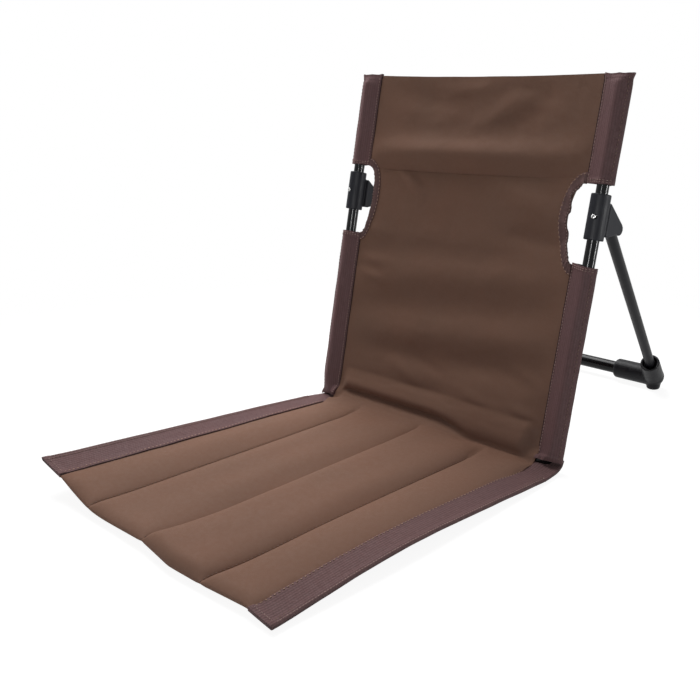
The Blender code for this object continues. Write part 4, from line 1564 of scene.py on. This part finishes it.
@dataclass
class ChairCloth:
    """One length of cloth: stretched on the back, over the bottom bar and lapped on to the seat's pad."""

    shop: Workshop
    finishes: Finishes
    box: SewingBox
    foot: float = 0.050
    columns: int = 124
    fold_rows: int = 52
    cloth: float = 0.0012
    tuck: float = 0.0018
    drawn: float = 0.0022
    roll_line: float = 0.3405
    roll_rise: float = 0.0118
    bow: float = 0.0085
    wave_rise: float = 0.0034
    wave_length: float = 0.080
    binding_steps: int = 150
    binding_sides: int = 16
    lap_places: tuple[float, ...] = (SEAT.lap + 0.0160, SEAT.lap + 0.0080, SEAT.lap)
    roll: Points = (
        (-0.183, 0.3365), (-0.06, 0.3385), (0.021, 0.3405), (0.12, 0.3425), (0.183, 0.3465),
    )
    tucked: Points = (
        (-0.0040, 0.0360), (-0.0070, 0.0300), (-0.0090, 0.0250), (-0.0088, 0.0208),
        (-0.0058, 0.0172), (-0.0012, 0.0142), (-0.0034, 0.0106), (-0.0076, 0.0070),
    )
    bulged: Points = (
        (-0.0078, 0.0360), (-0.0100, 0.0280), (-0.0117, 0.0205), (-0.0122, 0.0140),
        (-0.0114, 0.0085), (-0.0100, 0.0048), (-0.0096, 0.0018), (-0.0096, -0.0008),
    )
    rim: Points = (
        (0.0000, 0.0360), (-0.0002, 0.0280), (-0.0006, 0.0200), (-0.0020, 0.0135),
        (-0.0052, 0.0088), (-0.0074, 0.0060), (-0.0086, 0.0036), (-0.0092, 0.0006),
    )
    folds: tuple[Fold, ...] = (
        Fold((0.002, 0.404), (0.090, 0.446), 0.014, -0.0028),
        Fold((0.030, 0.398), (0.110, 0.428), 0.013, 0.0024),
        Fold((0.060, 0.452), (0.120, 0.440), 0.010, 0.0026),
        Fold((-0.150, 0.446), (-0.020, 0.430), 0.015, 0.0034),
        Fold((-0.060, 0.444), (0.030, 0.456), 0.010, -0.0022),
        Fold((-0.122, 0.337), (-0.080, 0.306), 0.0070, -0.0040),
        Fold((-0.105, 0.338), (-0.066, 0.312), 0.0070, 0.0018),
        Fold((0.060, 0.330), (0.158, 0.296), 0.018, -0.0060),
        Fold((0.070, 0.272), (0.166, 0.262), 0.013, 0.0060),
        Fold((-0.178, 0.2115), (-0.120, 0.2075), 0.0075, -0.0032),
        Fold((-0.176, 0.1890), (-0.125, 0.1810), 0.0065, -0.0030),
        Fold((-0.178, 0.2000), (-0.135, 0.1950), 0.0055, 0.0020),
        Fold((-0.178, 0.262), (-0.130, 0.246), 0.0080, -0.0024),
        Fold((0.120, 0.105), (0.178, 0.088), 0.009, -0.0026),
        Fold((-0.090, 0.072), (-0.030, 0.052), 0.010, -0.0030),
        Fold((-0.060, 0.088), (0.010, 0.070), 0.008, 0.0022),
        Fold((0.130, 0.056), (0.178, 0.046), 0.007, -0.0020),
        Fold((0.040, 0.060), (0.110, 0.044), 0.009, -0.0018),
    )

    def half_width(self, up: float) -> float:
        """Half the cloth's width at a height, with its edge inside the binding at the notches.

        Args:
            up: Height along the tubes.

        Returns:
            Half of the width there.
        """
        inner = 0.35 * SIZES.binding_width
        share = (up - SIZES.notch_mid) / (SIZES.notch_half + inner)
        inset = 0.0
        if abs(share) < 1:
            depth = SIZES.notch_depth - self.drawn + inner
            inset = depth * math.sqrt(1 - share * share) * (1 + SIZES.notch_skew * share)
        return SIZES.panel_half - inset + self.tuck * (1 - min(1.0, inset / 0.006))

    def out(self, x: float, up: float) -> float:
        """How far the cloth stands behind the plane of the tubes.

        Args:
            x: Place across the chair.
            up: Height along the tubes.

        Returns:
            Distance to the rear.
        """
        across = min(1.0, abs(x) / SIZES.panel_half)
        loose = (1 - across**4) ** 0.8
        rise = (up - 0.0094) / (SIZES.back_length - 0.0094)
        out = self.bow * math.sin(math.pi * min(0.96, max(0.0, 0.06 + 0.84 * rise))) * (1 - across**2)
        over = up - between(self.roll, x)
        band = loose * (1 - 0.25 * smoothstep(0.02, 0.14, x))
        out -= self.roll_rise * bell(over, 0.026, 0.018) * band
        if over > 0:
            lapped = 0.0044 * math.exp(-over / 0.009)
        else:
            lapped = 0.0026 * math.exp(over / 0.0065) + 0.0018 * math.exp(over / 0.026)
        lapped -= 0.0012 * smoothstep(0.0006, -0.0006, over) * math.exp(-abs(over) / 0.005)
        out += lapped * (1 - across**8) * (1 - 0.5 * smoothstep(0.0, 0.15, x))
        wave = math.cos(math.tau * (up - 0.205 - 0.10 * x) / self.wave_length)
        out -= self.wave_rise * wave * smoothstep(0.05, 0.10, up) * (1 - smoothstep(0.215, 0.262, up)) * loose
        out -= (0.0024 + 0.0038 * smoothstep(0.0, 0.07, x)) * smoothstep(0.100, 0.042, up) * (1 - across**6)
        out += sum(fold.at(x, up) for fold in self.folds) * (1 - across**10)
        out += 0.0009 * ruffle(x * 26, up * 34, 2.0) * loose
        out += 0.0004 * ruffle(x * 70, up * 90, 6.0) * loose
        return out

    def heights(self) -> list[float]:
        """Heights of the back's rows, closest at the roll.

        Returns:
            The heights from the top down.
        """
        stops = [(SIZES.back_length - 0.0006, 38), (0.352, 30), (0.331, 94), (self.foot, 0)]
        rows = []
        for (high, count), (low, _) in zip(stops, stops[1:]):
            rows += [high + (low - high) * step / count for step in range(count)]
        return rows + [self.foot]

    def fold_path(self, x: float, pad_tops: Sequence[float]) -> list[Vector]:
        """Line of the cloth from the foot of the back to the pad at a place across.

        Args:
            x: Place across the chair.
            pad_tops: Heights of the pad's upper side at the places where the cloth laps on to it.

        Returns:
            Points that the cloth passes.
        """
        s = SIZES
        near = min(s.panel_half, max(-s.panel_half, x))
        right = smoothstep(0.015, 0.085, x + 0.012 * ruffle(x * 24, 5.0))
        edge = smoothstep(0.158, 0.181, abs(x))
        points = [s.back(x, self.out(near, self.foot), self.foot), s.back(x, self.out(near, 0.044), 0.044)]
        for tucked, bulged, rim in zip(self.tucked, self.bulged, self.rim):
            out, up = ((a + (b - a) * right) * (1 - edge) + c * edge for a, b, c in zip(tucked, bulged, rim))
            points.append(s.back(x, out, up))
        high = 0.0140 - 0.0042 * right
        flat = pad_tops[0] - SEAT.lift(x, self.lap_places[0])
        bends = (
            (0.2170, high + (0.0072 - high) * edge, 0.0),
            (0.2085, 0.0132 - 0.0034 * right, 0.45),
            (0.1990, 0.0112, 0.85),
        )
        for y, raised, share in bends:
            points.append(Vector((x, y, raised + (flat - raised) * share + SEAT.lift(x, y))))
        for y, top, sunk in zip(self.lap_places, pad_tops, (0.0001, 0.0008, 0.0018)):
            points.append(Vector((x, y, top - sunk)))
        return points

    def column(self, across: float, rows: Sequence[float], tree: BVHTree) -> list[Vector]:
        """One column of the cloth.

        Args:
            across: Share across the cloth, from -1 to 1.
            rows: Heights of the back's rows.
            tree: Faces of the pad.

        Returns:
            Points from the top edge to the end on the pad.
        """
        line = []
        for row in rows:
            near = across * self.half_width(row)
            up = row + (between(self.roll, near) - self.roll_line) * bell(row, self.roll_line, 0.045)
            place = across * self.half_width(up)
            dip = 0.0020 * max(0.0, (up - 0.36) / 0.107) ** 2 * (1 - across**2)
            line.append(SIZES.back(place, self.out(place, up), up - dip))
        x = line[-1].x
        tops = []
        for y in self.lap_places:
            hit = dropped(tree, x, y)
            tops.append(hit.z if hit else SEAT.height(x, y) + SEAT.lift(x, y))
        under = curve_through(self.fold_path(x, tops), self.fold_rows)
        for row, point in enumerate(under):
            share = row / self.fold_rows
            loose = smoothstep(0.0, 0.15, share) * (1 - smoothstep(0.55, 0.80, share))
            point.z += 0.00045 * loose * ruffle(x * 45, row * 0.35, 1.0)
            point.x += 0.0030 * smoothstep(0.150, 0.1848, -x) * smoothstep(0.10, 0.40, share)
        return line + under[1:]

    def build(self, pad: bpy.types.Object) -> None:
        """Make the cloth and its bindings.

        Args:
            pad: The seat's pad, which the cloth laps on to.
        """
        tree = surface_tree(pad)
        rows = self.heights()
        columns, flat = [], []
        for step in range(self.columns + 1):
            line = self.column(-1 + 2 * step / self.columns, rows, tree)
            lengths = [0.0, *accumulate((last - first).length for first, last in zip(line, line[1:]))]
            columns.append(line)
            flat.append([(point.x, SIZES.back_length - length) for point, length in zip(line, lengths)])
        name = "chair_cloth"
        mesh = grid_mesh(name, columns, flat)
        obj = self.shop.link(name, mesh, self.finishes.fabric)
        thicken(self.shop, obj, self.cloth, 0)
        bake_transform(obj)
        self.shop.enter(obj, "back_fabric", "back_panel")
        bindings = [self.binding(side) for side in Side]
        self.seams(columns)
        self.bar_sleeve()
        self.under_flap()

    def seams(self, columns: list[list[Vector]]) -> None:
        """Ends of the quilting seams, on the cloth that laps on to the pad.

        Args:
            columns: Columns of the cloth's points.
        """
        for seam in SEAT.seams()[1:4]:
            column = min(columns, key=lambda line: abs(line[-1].x - seam))
            lapped = [point for point in column if point.y < 0.2 and point.z < 0.03]
            line = [point + Vector((seam - point.x, 0, 0.0008)) for point in lapped]
            self.box.add(Body.SEAT, line, Thread.SEAM)

    def binding(self, side: Side) -> bpy.types.Object:
        """Tape folded over a notch's edge, puckered where its stitches draw it in.

        Args:
            side: The notch's side.

        Returns:
            The tape.
        """
        s = SIZES
        points, flat, seam, edge = [], [], [], []
        count, sides = self.binding_steps, self.binding_sides
        length = 0.0
        last = None
        wide = s.binding_width + side.pick(0.0024, 0.0052)
        depth = s.notch_depth - self.drawn + side.pick(-0.0018, 0.0016)
        loose = side.pick(0.55, 1.0)
        for step in range(count + 1):
            angle = math.radians(-92 + 184 * step / count)
            wander = 0.0056 * ruffle(step * 0.040, side.value * 5.0)
            wander = loose * (wander + 0.0010 * ruffle(step * 0.13, side.value * 2.0))
            pucker = 0.0040 * ruffle(step * 0.060, 3.0, side.value * 2.0)
            pucker = loose * (pucker + 0.0012 * ruffle(step * 0.16, 7.0, 4.0) - 0.0014)
            ring = []
            for turn in range(sides):
                around = math.tau * turn / sides
                share = 0.5 - 0.5 * math.copysign(abs(math.cos(around)) ** 0.7, math.cos(around))
                thick = 0.0019 * math.copysign(abs(math.sin(around)) ** 0.6, math.sin(around))
                inset = (depth + wide * share + wander * (1 - share)) * math.cos(angle)
                x = s.panel_half - 0.0003 - inset * (1 + s.notch_skew * math.sin(angle))
                up = s.notch_mid + (s.notch_half + wide * share) * math.sin(angle)
                base = self.out(side.value * min(x, s.panel_half), up)
                ripple = pucker * (1 - share) ** 1.5 + 0.0004 * ruffle(step * 0.55, share * 3, side.value)
                ripple += 0.0013 * loose * (1 - 0.7 * share) * ruffle(step * 0.21, share * 1.3, 9.0)
                ring.append(s.back(side.value * x, base + thick + ripple, up))
            middle = sum(ring, Vector()) / len(ring)
            if last is not None:
                length += (middle - last).length
            last = middle
            points.append(ring)
            flat.append([(0.0012 * turn, length) for turn in range(sides + 1)])
            if 6 <= step <= count - 6:
                seam.append(ring[10] + (ring[10] - ring[6]).normalized() * 0.0002)
                edge.append(ring[14] + (ring[14] - ring[2]).normalized() * 0.0001)
        name = side.word + "_notch_tape"
        mesh = outward(grid_mesh(name, points, flat, ring=True), cap_above=FLOOR)
        obj = self.shop.link(name, mesh, self.finishes.binding)
        self.shop.ride(obj, Body.BACK, "webbing", side.word + "_notch_binding")
        self.box.add(Body.BACK, seam, Thread.RIM)
        self.box.add(Body.BACK, edge)
        return obj

    def bar_sleeve(self) -> None:
        """Cloth sewn round the bottom bar."""
        s = SIZES
        reach = s.tube_x - s.bend_radius - 0.002
        points, flat = [], []
        for row in range(61):
            x = -reach + 2 * reach * row / 60
            ring, spots = [], []
            for turn in range(41):
                angle = math.tau * turn / 40
                radius = s.sleeve_r + 0.00025 * ruffle(x * 60, math.sin(angle) * 2, math.cos(angle) * 2)
                ring.append(s.back(x, radius * math.sin(angle), radius * math.cos(angle)))
                spots.append((x, radius * angle))
            points.append(ring[:40])
            flat.append(spots)
        mesh = outward(grid_mesh("bar_sleeve", points, flat, ring=True))
        obj = self.shop.link("bar_sleeve", mesh, self.finishes.fabric)
        thicken(self.shop, obj, 0.0010, -1)
        self.shop.ride(obj, Body.BACK, "back_fabric", "bottom_bar_sleeve")

    def under_flap(self) -> None:
        """Under cloth from the pad to the bottom bar."""
        s = SIZES
        rows, flat = [], []
        for step in range(13):
            share = step / 12
            y = SEAT.rear - 0.012 + (s.bar_y - 0.002 - SEAT.rear + 0.012) * share
            places = [-s.panel_half + 2 * s.panel_half * column / 60 for column in range(61)]
            rows.append([Vector((x, y, 0.0006 + SEAT.lift(x, y) * (1 - share))) for x in places])
            flat.append([(x, y) for x in places])
        obj = self.shop.link("under_flap", grid_mesh("under_flap", rows, flat), self.finishes.fabric)
        thicken(self.shop, obj, 0.0008, 0)
        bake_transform(obj)
        self.shop.enter(obj, "seat_fabric")


@dataclass
class SideWebbing:
    """Webbing along the sides of the seat, which turns up at the rear corners into the sleeves."""

    shop: Workshop
    finishes: Finishes
    box: SewingBox
    rear: float = 0.1960
    rows: int = 120
    corner_rows: int = 30
    top_columns: int = 24
    half_thick: float = 0.0017
    top: float = 0.0042
    thread_height: float = 0.0043
    hem_height: float = 0.0050
    stitch_rows: tuple[tuple[Thread, float], ...] = (
        (Thread.RIM, 0.0022),
        (Thread.EDGE, -0.0030),
        (Thread.SEAM, -0.0066),
        # Near-black line at the left webbing's inner edge, set down on the pad: painted shade for the gap
        # between webbing and pad.
        (Thread.WELT, -0.0004),
    )
    inner_path: tuple[tuple[float, float, float], ...] = (
        (0.2140, 0.0046, 0.0074), (0.2185, 0.0040, 0.0088), (0.2214, 0.0036, 0.0098),
        (0.2245, 0.0034, 0.0098), (0.2290, 0.0034, 0.0098),
    )
    outer_path: tuple[tuple[float, float, float], ...] = (
        (0.2165, 0.0028, 0.0042), (0.2240, 0.0022, 0.0056), (0.2300, 0.0024, 0.0070),
        (0.2346, 0.0040, 0.0098),
    )
    under_path: Points = (
        (0.210, 0.0005), (0.2300, 0.0003), (0.2350, 0.0006), (0.2385, 0.0022), (0.2395, 0.0046),
    )

    def span(self, side: Side, y: float) -> tuple[float, float]:
        """Edges of the webbing at a place along the seat.

        Args:
            side: The webbing's side.
            y: Place along the seat.

        Returns:
            Places of the inner and the outer edge, outwards from the tube's line.
        """
        wave = 0.0010 * ruffle(y * 19, side.value * 2.3) + 0.0005 * ruffle(y * 47, side.value * 5.1)
        fade = 1 - smoothstep(0.17, 0.195, y)
        inner = -(SIZES.sleeve_width - SIZES.sleeve_inset) - 0.0006 + wave * fade * side.pick(1.3, 0.6)
        return inner, SIZES.sleeve_inset + 0.0005 * ruffle(y * 30, side.value * 8.1) * fade

    @staticmethod
    def raised(side: Side, y: float, front: float) -> float:
        """How far the inner edge stands up on the pad."""
        ends = smoothstep(0.0, 0.05, y - front) * (1 - smoothstep(0.14, 0.19, y))
        return side.pick(0.0006, 0.0032) * ends + 0.0004 * smoothstep(0.14, 0.19, y)

    @staticmethod
    def swell(side: Side, rim: float) -> float:
        """How far the webbing swells beside its inner edge."""
        return side.pick(0.0013, 0.0004) * bell(rim, 0.0, 0.006)

    def flat_ring(self, side: Side, y: float, front: float) -> tuple[list[Vector], Pairs]:
        """Cross-section of the webbing along the seat.

        Args:
            side: The webbing's side.
            y: Place along the seat.
            front: Place of the webbing's front end.

        Returns:
            Its points, and their places on the map.
        """
        inner, outer = self.span(side, y)
        hem = 0.0006 * (1 - smoothstep(0.007, 0.0085, y - front))
        last = self.top_columns - 1
        line, spots = [], []
        for turn in range(2 * self.top_columns):
            upper = turn < self.top_columns
            share = (turn if upper else self.top_columns + last - turn) / last
            u = inner + (outer - inner) * share
            rim = min(share, 1 - share) * (outer - inner)
            x = side.value * (SIZES.tube_x + u)
            shear = (SEAT.front(x) - front) * (1 - smoothstep(0.0, 0.05, y - front))
            edge = 0.0014 * (1 - min(1.0, rim / 0.0016)) ** 2
            if share < 0.5:
                edge = 0.0004 * (1 - min(1.0, rim / 0.0010)) ** 2 - self.swell(side, rim)
            z = 0.0005 + max(0.0, edge) * 0.8
            if upper:
                folded = 0.0007 * (1 - smoothstep(0.0076, 0.0084, outer - u))
                raised = self.raised(side, y, front) * (1 - share) + folded
                z = self.top - edge + hem + raised + 0.0004 * ruffle(x * 60, y * 26, 3.0)
            line.append(Vector((x, y + shear, z + SEAT.lift(x, y))))
            spots.append((u if upper else -u - 0.05, y))
        return line, spots

    def corner_lines(self, side: Side) -> list[tuple[list[Vector], list[Vector]]]:
        """Columns of the rear corner, from the seat up into the sleeve.

        Args:
            side: The webbing's side.

        Returns:
            The upper and the under line of each column.
        """
        s = SIZES
        x = side.value * s.panel_half
        lift = SEAT.lift(x, self.rear)
        path = [(self.rear, 0.0046 + lift), (0.2060, side.pick(0.0050, 0.0058) + 0.6 * lift)]
        path += [(y, side.pick(left, right)) for y, left, right in self.inner_path]
        inner_top = curve_through([Vector((x, *spot)) for spot in path], self.corner_rows)
        path = [(self.rear, 0.0005 + lift), *self.under_path]
        inner_low = curve_through([Vector((x, *spot)) for spot in path], self.corner_rows)
        lift = SEAT.lift(side.value * s.width / 2, self.rear)
        path = [(self.rear, 0.0024 + lift), (0.2070, 0.0030 + 0.5 * lift)]
        path += [(y, side.pick(left, right)) for y, left, right in self.outer_path]
        ends = [s.back(x, 0.0042, side.pick(0.0030, 0.0080))]
        outer = curve_through([Vector((x, *spot)) for spot in path] + ends, self.corner_rows)
        columns = []
        inner_edge, outer_edge = self.span(side, 0.2)
        for column in range(self.top_columns):
            share = column / (self.top_columns - 1)
            u = inner_edge + (outer_edge - inner_edge) * share
            weight = smoothstep(-0.019, 0.006, u)
            upper, lower = [], []
            for row in range(self.corner_rows):
                ahead = outer[min(row + 1, self.corner_rows - 1)] - outer[max(row - 1, 0)]
                normal = Vector((0, -ahead.z, ahead.y)).normalized()
                inside = min(1.0, min(share, 1 - share) * s.sleeve_width / s.sleeve_edge)
                thick = self.half_thick * (1 - 0.55 * (1 - inside) ** 2)
                high = inner_top[row].lerp(outer[row] + normal * thick, weight)
                low = inner_low[row].lerp(outer[row] - normal * thick, weight)
                along = row / (self.corner_rows - 1)
                drawn = 0.0030 * math.sin(math.pi * along) + 0.0044 * smoothstep(0.55, 0.90, along)
                drawn *= smoothstep(0.004, s.sleeve_inset, u)
                crumple = 0.0005 * ruffle(u * 120, row * 0.30, side.value * 3.0) * math.sin(math.pi * along)
                place = side.value * (s.tube_x + u - side.pick(1.0, 0.5) * drawn)
                upper.append(Vector((place, high.y, high.z + crumple)))
                lower.append(Vector((place, low.y, max(0.0003, low.z))))
            columns.append((upper, lower))
        return columns

    def strip(self, side: Side) -> None:
        """The webbing of one side, hemmed at the front.

        Args:
            side: The side.
        """
        points, flat = [], []
        front = SEAT.front(side.value * 0.2)
        for row in range(self.rows):
            line, spots = self.flat_ring(side, front + (self.rear - front) * row / self.rows, front)
            points.append(line)
            flat.append([*spots, spots[0]])
        columns = self.corner_lines(side)
        inner, outer = self.span(side, 0.2)
        last = self.top_columns - 1
        across = [inner + (outer - inner) * step / last for step in range(self.top_columns)]
        for row in range(self.corner_rows):
            upper = [column[0][row] for column in columns]
            lower = [column[1][row] for column in reversed(columns)]
            points.append(upper + lower)
            spots = [(u, self.rear + 0.0016 * row) for u in across]
            spots += [(-u - 0.05, self.rear) for u in reversed(across)]
            flat.append([*spots, spots[0]])
        name = side.word + "_side_webbing"
        mesh = outward(grid_mesh(name, points, flat, ring=True), cap_above=FLOOR)
        obj = self.shop.link(name, mesh, self.finishes.webbing)
        crisp(obj, 60)
        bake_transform(obj)
        self.shop.enter(obj, "webbing", side.word + "_seat_webbing")
        self.stitch(side, front)

    def stitch(self, side: Side, front: float) -> None:
        """Stitches along both edges and across the front hem, and on the left a near-black line along the
        inner edge: painted shade for the gap between webbing and pad.

        Args:
            side: The webbing's side.
            front: Place of its front end.
        """
        for thread, shift in self.stitch_rows:
            if thread is Thread.WELT and side is Side.RIGHT:
                continue
            inside = thread in (Thread.RIM, Thread.WELT)
            line = []
            for step in range(121):
                y = front + 0.004 + (self.rear - front - 0.004) * step / 120
                inner, outer = self.span(side, y)
                x = side.value * (SIZES.tube_x + (inner if inside else outer) + shift)
                z = self.thread_height + 0.0004 * ruffle(x * 60, y * 26, 3.0) + SEAT.lift(x, y)
                z += self.raised(side, y, front) + self.swell(side, 0.0022) if inside else 0.0007
                # The painted shade line sits lower, down in the gap.
                line.append(Vector((x, y, z - (0.0012 if thread is Thread.WELT else 0.0))))
            self.box.add(Body.SEAT, line, thread)
        across = []
        for step in range(13):
            x = side.value * (SIZES.tube_x - 0.0195 + 0.031 * step / 12)
            y = SEAT.front(x) + 0.0055
            across.append(Vector((x, y, self.hem_height + SEAT.lift(x, y))))
        self.box.add(Body.SEAT, across)

    def build(self) -> None:
        """Make both sides."""
        for side in Side:
            self.strip(side)


def quilting(box: SewingBox, pad: bpy.types.Object) -> None:
    """Stitches along the pad's three seams.

    Args:
        box: Where the lines are kept.
        pad: The seat's pad.
    """
    tree = surface_tree(pad)
    for seam in SEAT.seams()[1:4]:
        front = SEAT.front(seam) + 0.002
        line = []
        for step in range(101):
            hit = dropped(tree, seam - 0.0014, front + (SEAT.lap - front) * step / 100)
            if hit:
                line.append(hit + Vector((0, 0, 0.0003)))
        box.add(Body.SEAT, line, Thread.SEAM)


@dataclass(frozen=True)
class Lamp:
    """One soft lamp: its place, what it points at, its width and height, and its power in watts."""

    name: str
    spot: tuple[float, float, float]
    aim: tuple[float, float, float]
    size: tuple[float, float]
    power: float
    lights_cloth: bool = False

    def build(self) -> None:
        """Put the lamp in the scene; most only make glints."""
        data = bpy.data.lights.new(self.name, "AREA")
        data.shape = "RECTANGLE"
        data.size, data.size_y = self.size
        data.energy = self.power
        obj = bpy.data.objects.new(self.name, data)
        spot = Vector(self.spot)
        turn = (Vector(self.aim) - spot).to_track_quat("-Z", "Y").to_matrix().to_4x4()
        obj.matrix_world = Matrix.Translation(spot) @ turn
        obj.visible_diffuse = self.lights_cloth
        bpy.context.scene.collection.objects.link(obj)


@dataclass(frozen=True)
class Studio:
    """Floor, light and camera."""

    focal_px: float = 908.6165
    azimuth: float = math.radians(45.1079)
    elevation: float = math.radians(19.6177)
    roll: float = math.radians(-1.3167)
    distance: float = 1.1765
    target: tuple[float, float, float] = (0.0, 0.1486, 0.0827)
    centre_px: tuple[float, float] = (385.7792, 388.4334)
    ambient: float = 0.182
    frame_px: int = 700
    sensor: float = 36.0
    floor_half: float = 4.0
    floor_paint: float = 0.95
    floor_shade: float = 0.24
    floor_fade: float = 0.09
    lamps: tuple[Lamp, ...] = (
        Lamp("top_softbox", (-0.86, 0.58, 1.64), (0.0, 0.12, 0.10), (1.2, 1.2), 35.0, lights_cloth=True),
        Lamp("front_strip", (0.60, -1.22, 0.36), (SIZES.tube_x, 0.30, 0.30), (0.11, 0.9), 27.0),
        Lamp("rear_strip", (1.46, 0.80, 0.36), (SIZES.tube_x, 0.30, 0.30), (0.11, 0.9), 27.0),
    )

    def camera(self) -> None:
        """Camera at the photograph's place, for its square frame."""
        data = bpy.data.cameras.new("studio_camera")
        data.sensor_width = self.sensor
        data.lens = self.focal_px / self.frame_px * self.sensor
        data.shift_x = (self.frame_px / 2 - self.centre_px[0]) / self.frame_px
        data.shift_y = (self.centre_px[1] - self.frame_px / 2) / self.frame_px
        obj = bpy.data.objects.new("studio_camera", data)
        flat = math.cos(self.elevation)
        across, along = math.sin(self.azimuth) * flat, -math.cos(self.azimuth) * flat
        back = Vector((across, along, math.sin(self.elevation)))
        turn = (-back).to_track_quat("-Z", "Y").to_matrix() @ Matrix.Rotation(self.roll, 3, "Z")
        obj.matrix_world = Matrix.Translation(Vector(self.target) + back * self.distance) @ turn.to_4x4()
        bpy.context.scene.collection.objects.link(obj)
        bpy.context.scene.camera = obj

    @staticmethod
    def seen_directly(sheet: NodeSheet) -> bpy.types.NodeSocket:
        """Tell what is seen from what is only lit.

        Args:
            sheet: Where the nodes go.

        Returns:
            1 for rays from the camera, and for those that gloss or glass sends on.
        """
        path = sheet.add("ShaderNodeLightPath")
        first = sheet.math("MAXIMUM", path.outputs["Is Camera Ray"], path.outputs["Is Glossy Ray"])
        return sheet.math("MAXIMUM", first, path.outputs["Is Transmission Ray"])

    def world(self) -> None:
        """White behind the chair, soft light from all around it."""
        world = bpy.data.worlds.new("studio_world")
        world.use_nodes = True
        sheet = NodeSheet(world.node_tree)
        world.node_tree.nodes.clear()
        soft = sheet.add("ShaderNodeBackground", {"Color": (1.0, 0.99, 0.98, 1), "Strength": self.ambient})
        white = sheet.add("ShaderNodeBackground", {"Color": (1, 1, 1, 1), "Strength": 1.0})
        shades = {0: self.seen_directly(sheet), 1: soft.outputs[0], 2: white.outputs[0]}
        mix = sheet.add("ShaderNodeMixShader", shades)
        sheet.add("ShaderNodeOutputWorld", {0: mix.outputs[0]})
        bpy.context.scene.world = world

    def floor(self) -> None:
        """Pale floor that keeps a faint shadow."""
        mesh = bpy.data.meshes.new("studio_floor")
        size = self.floor_half
        corners = [(x * size, y * size, FLOOR) for x, y in ((-1, -1), (1, -1), (1, 1), (-1, 1))]
        mesh.from_pydata(corners, [], [(0, 1, 2, 3)])
        made = bpy.data.materials.new("pale_floor")
        made.use_nodes = True
        sheet = NodeSheet(made.node_tree)
        made.node_tree.nodes.clear()
        seen = self.seen_directly(sheet)
        space = sheet.add("ShaderNodeTexCoord").outputs["Object"]
        away = sheet.add("ShaderNodeVectorMath", {0: space}, operation="LENGTH")
        reach = {"Value": away.outputs["Value"], "From Min": 0.45, "From Max": 1.1}
        reach |= {"To Min": 1.0, "To Max": 0.0}
        near = sheet.add("ShaderNodeMapRange", reach, interpolation_type="SMOOTHSTEP").outputs[0]
        change = sheet.math("SUBTRACT", sheet.math("MULTIPLY", near, self.floor_shade), self.floor_paint)
        level = sheet.math("ADD", sheet.math("MULTIPLY", seen, change), self.floor_paint)
        paint = sheet.add("ShaderNodeBsdfDiffuse", {"Color": level})
        white = sheet.math("SUBTRACT", 1.0, sheet.math("MULTIPLY", near, self.floor_fade))
        strength = sheet.math("MULTIPLY", seen, white)
        glow = sheet.add("ShaderNodeEmission", {"Color": (1, 1, 1, 1), "Strength": strength})
        both = sheet.add("ShaderNodeAddShader", {0: paint.outputs[0], 1: glow.outputs[0]})
        sheet.add("ShaderNodeOutputMaterial", {0: both.outputs[0]})
        mesh.materials.append(made)
        obj = bpy.data.objects.new("studio_floor", mesh)
        bpy.context.scene.collection.objects.link(obj)

    def build(self) -> None:
        """Set up the studio."""
        view = bpy.context.scene.view_settings
        view.view_transform = "Standard"
        self.camera()
        self.world()
        self.floor()
        for lamp in self.lamps:
            lamp.build()


def main() -> None:
    """Build the chair's pieces in order, set up the studio and sew the stitches."""
    logging.basicConfig(level=logging.INFO, format="%(message)s")
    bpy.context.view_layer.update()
    shop = Workshop()
    finishes = Finishes()
    box = SewingBox(shop, finishes)
    Studio().build()
    Tubes(shop, finishes).build()
    Mouldings(shop, finishes).build()
    Sleeves(shop, finishes, box).build()
    pad = SeatPad(shop, finishes).build()
    quilting(box, pad)
    ChairCloth(shop, finishes, box).build(pad)
    SideWebbing(shop, finishes, box).build()
    box.sew()
    LOG.info("%d pieces", len(shop.pieces))


if __name__ == "__main__":
    main()
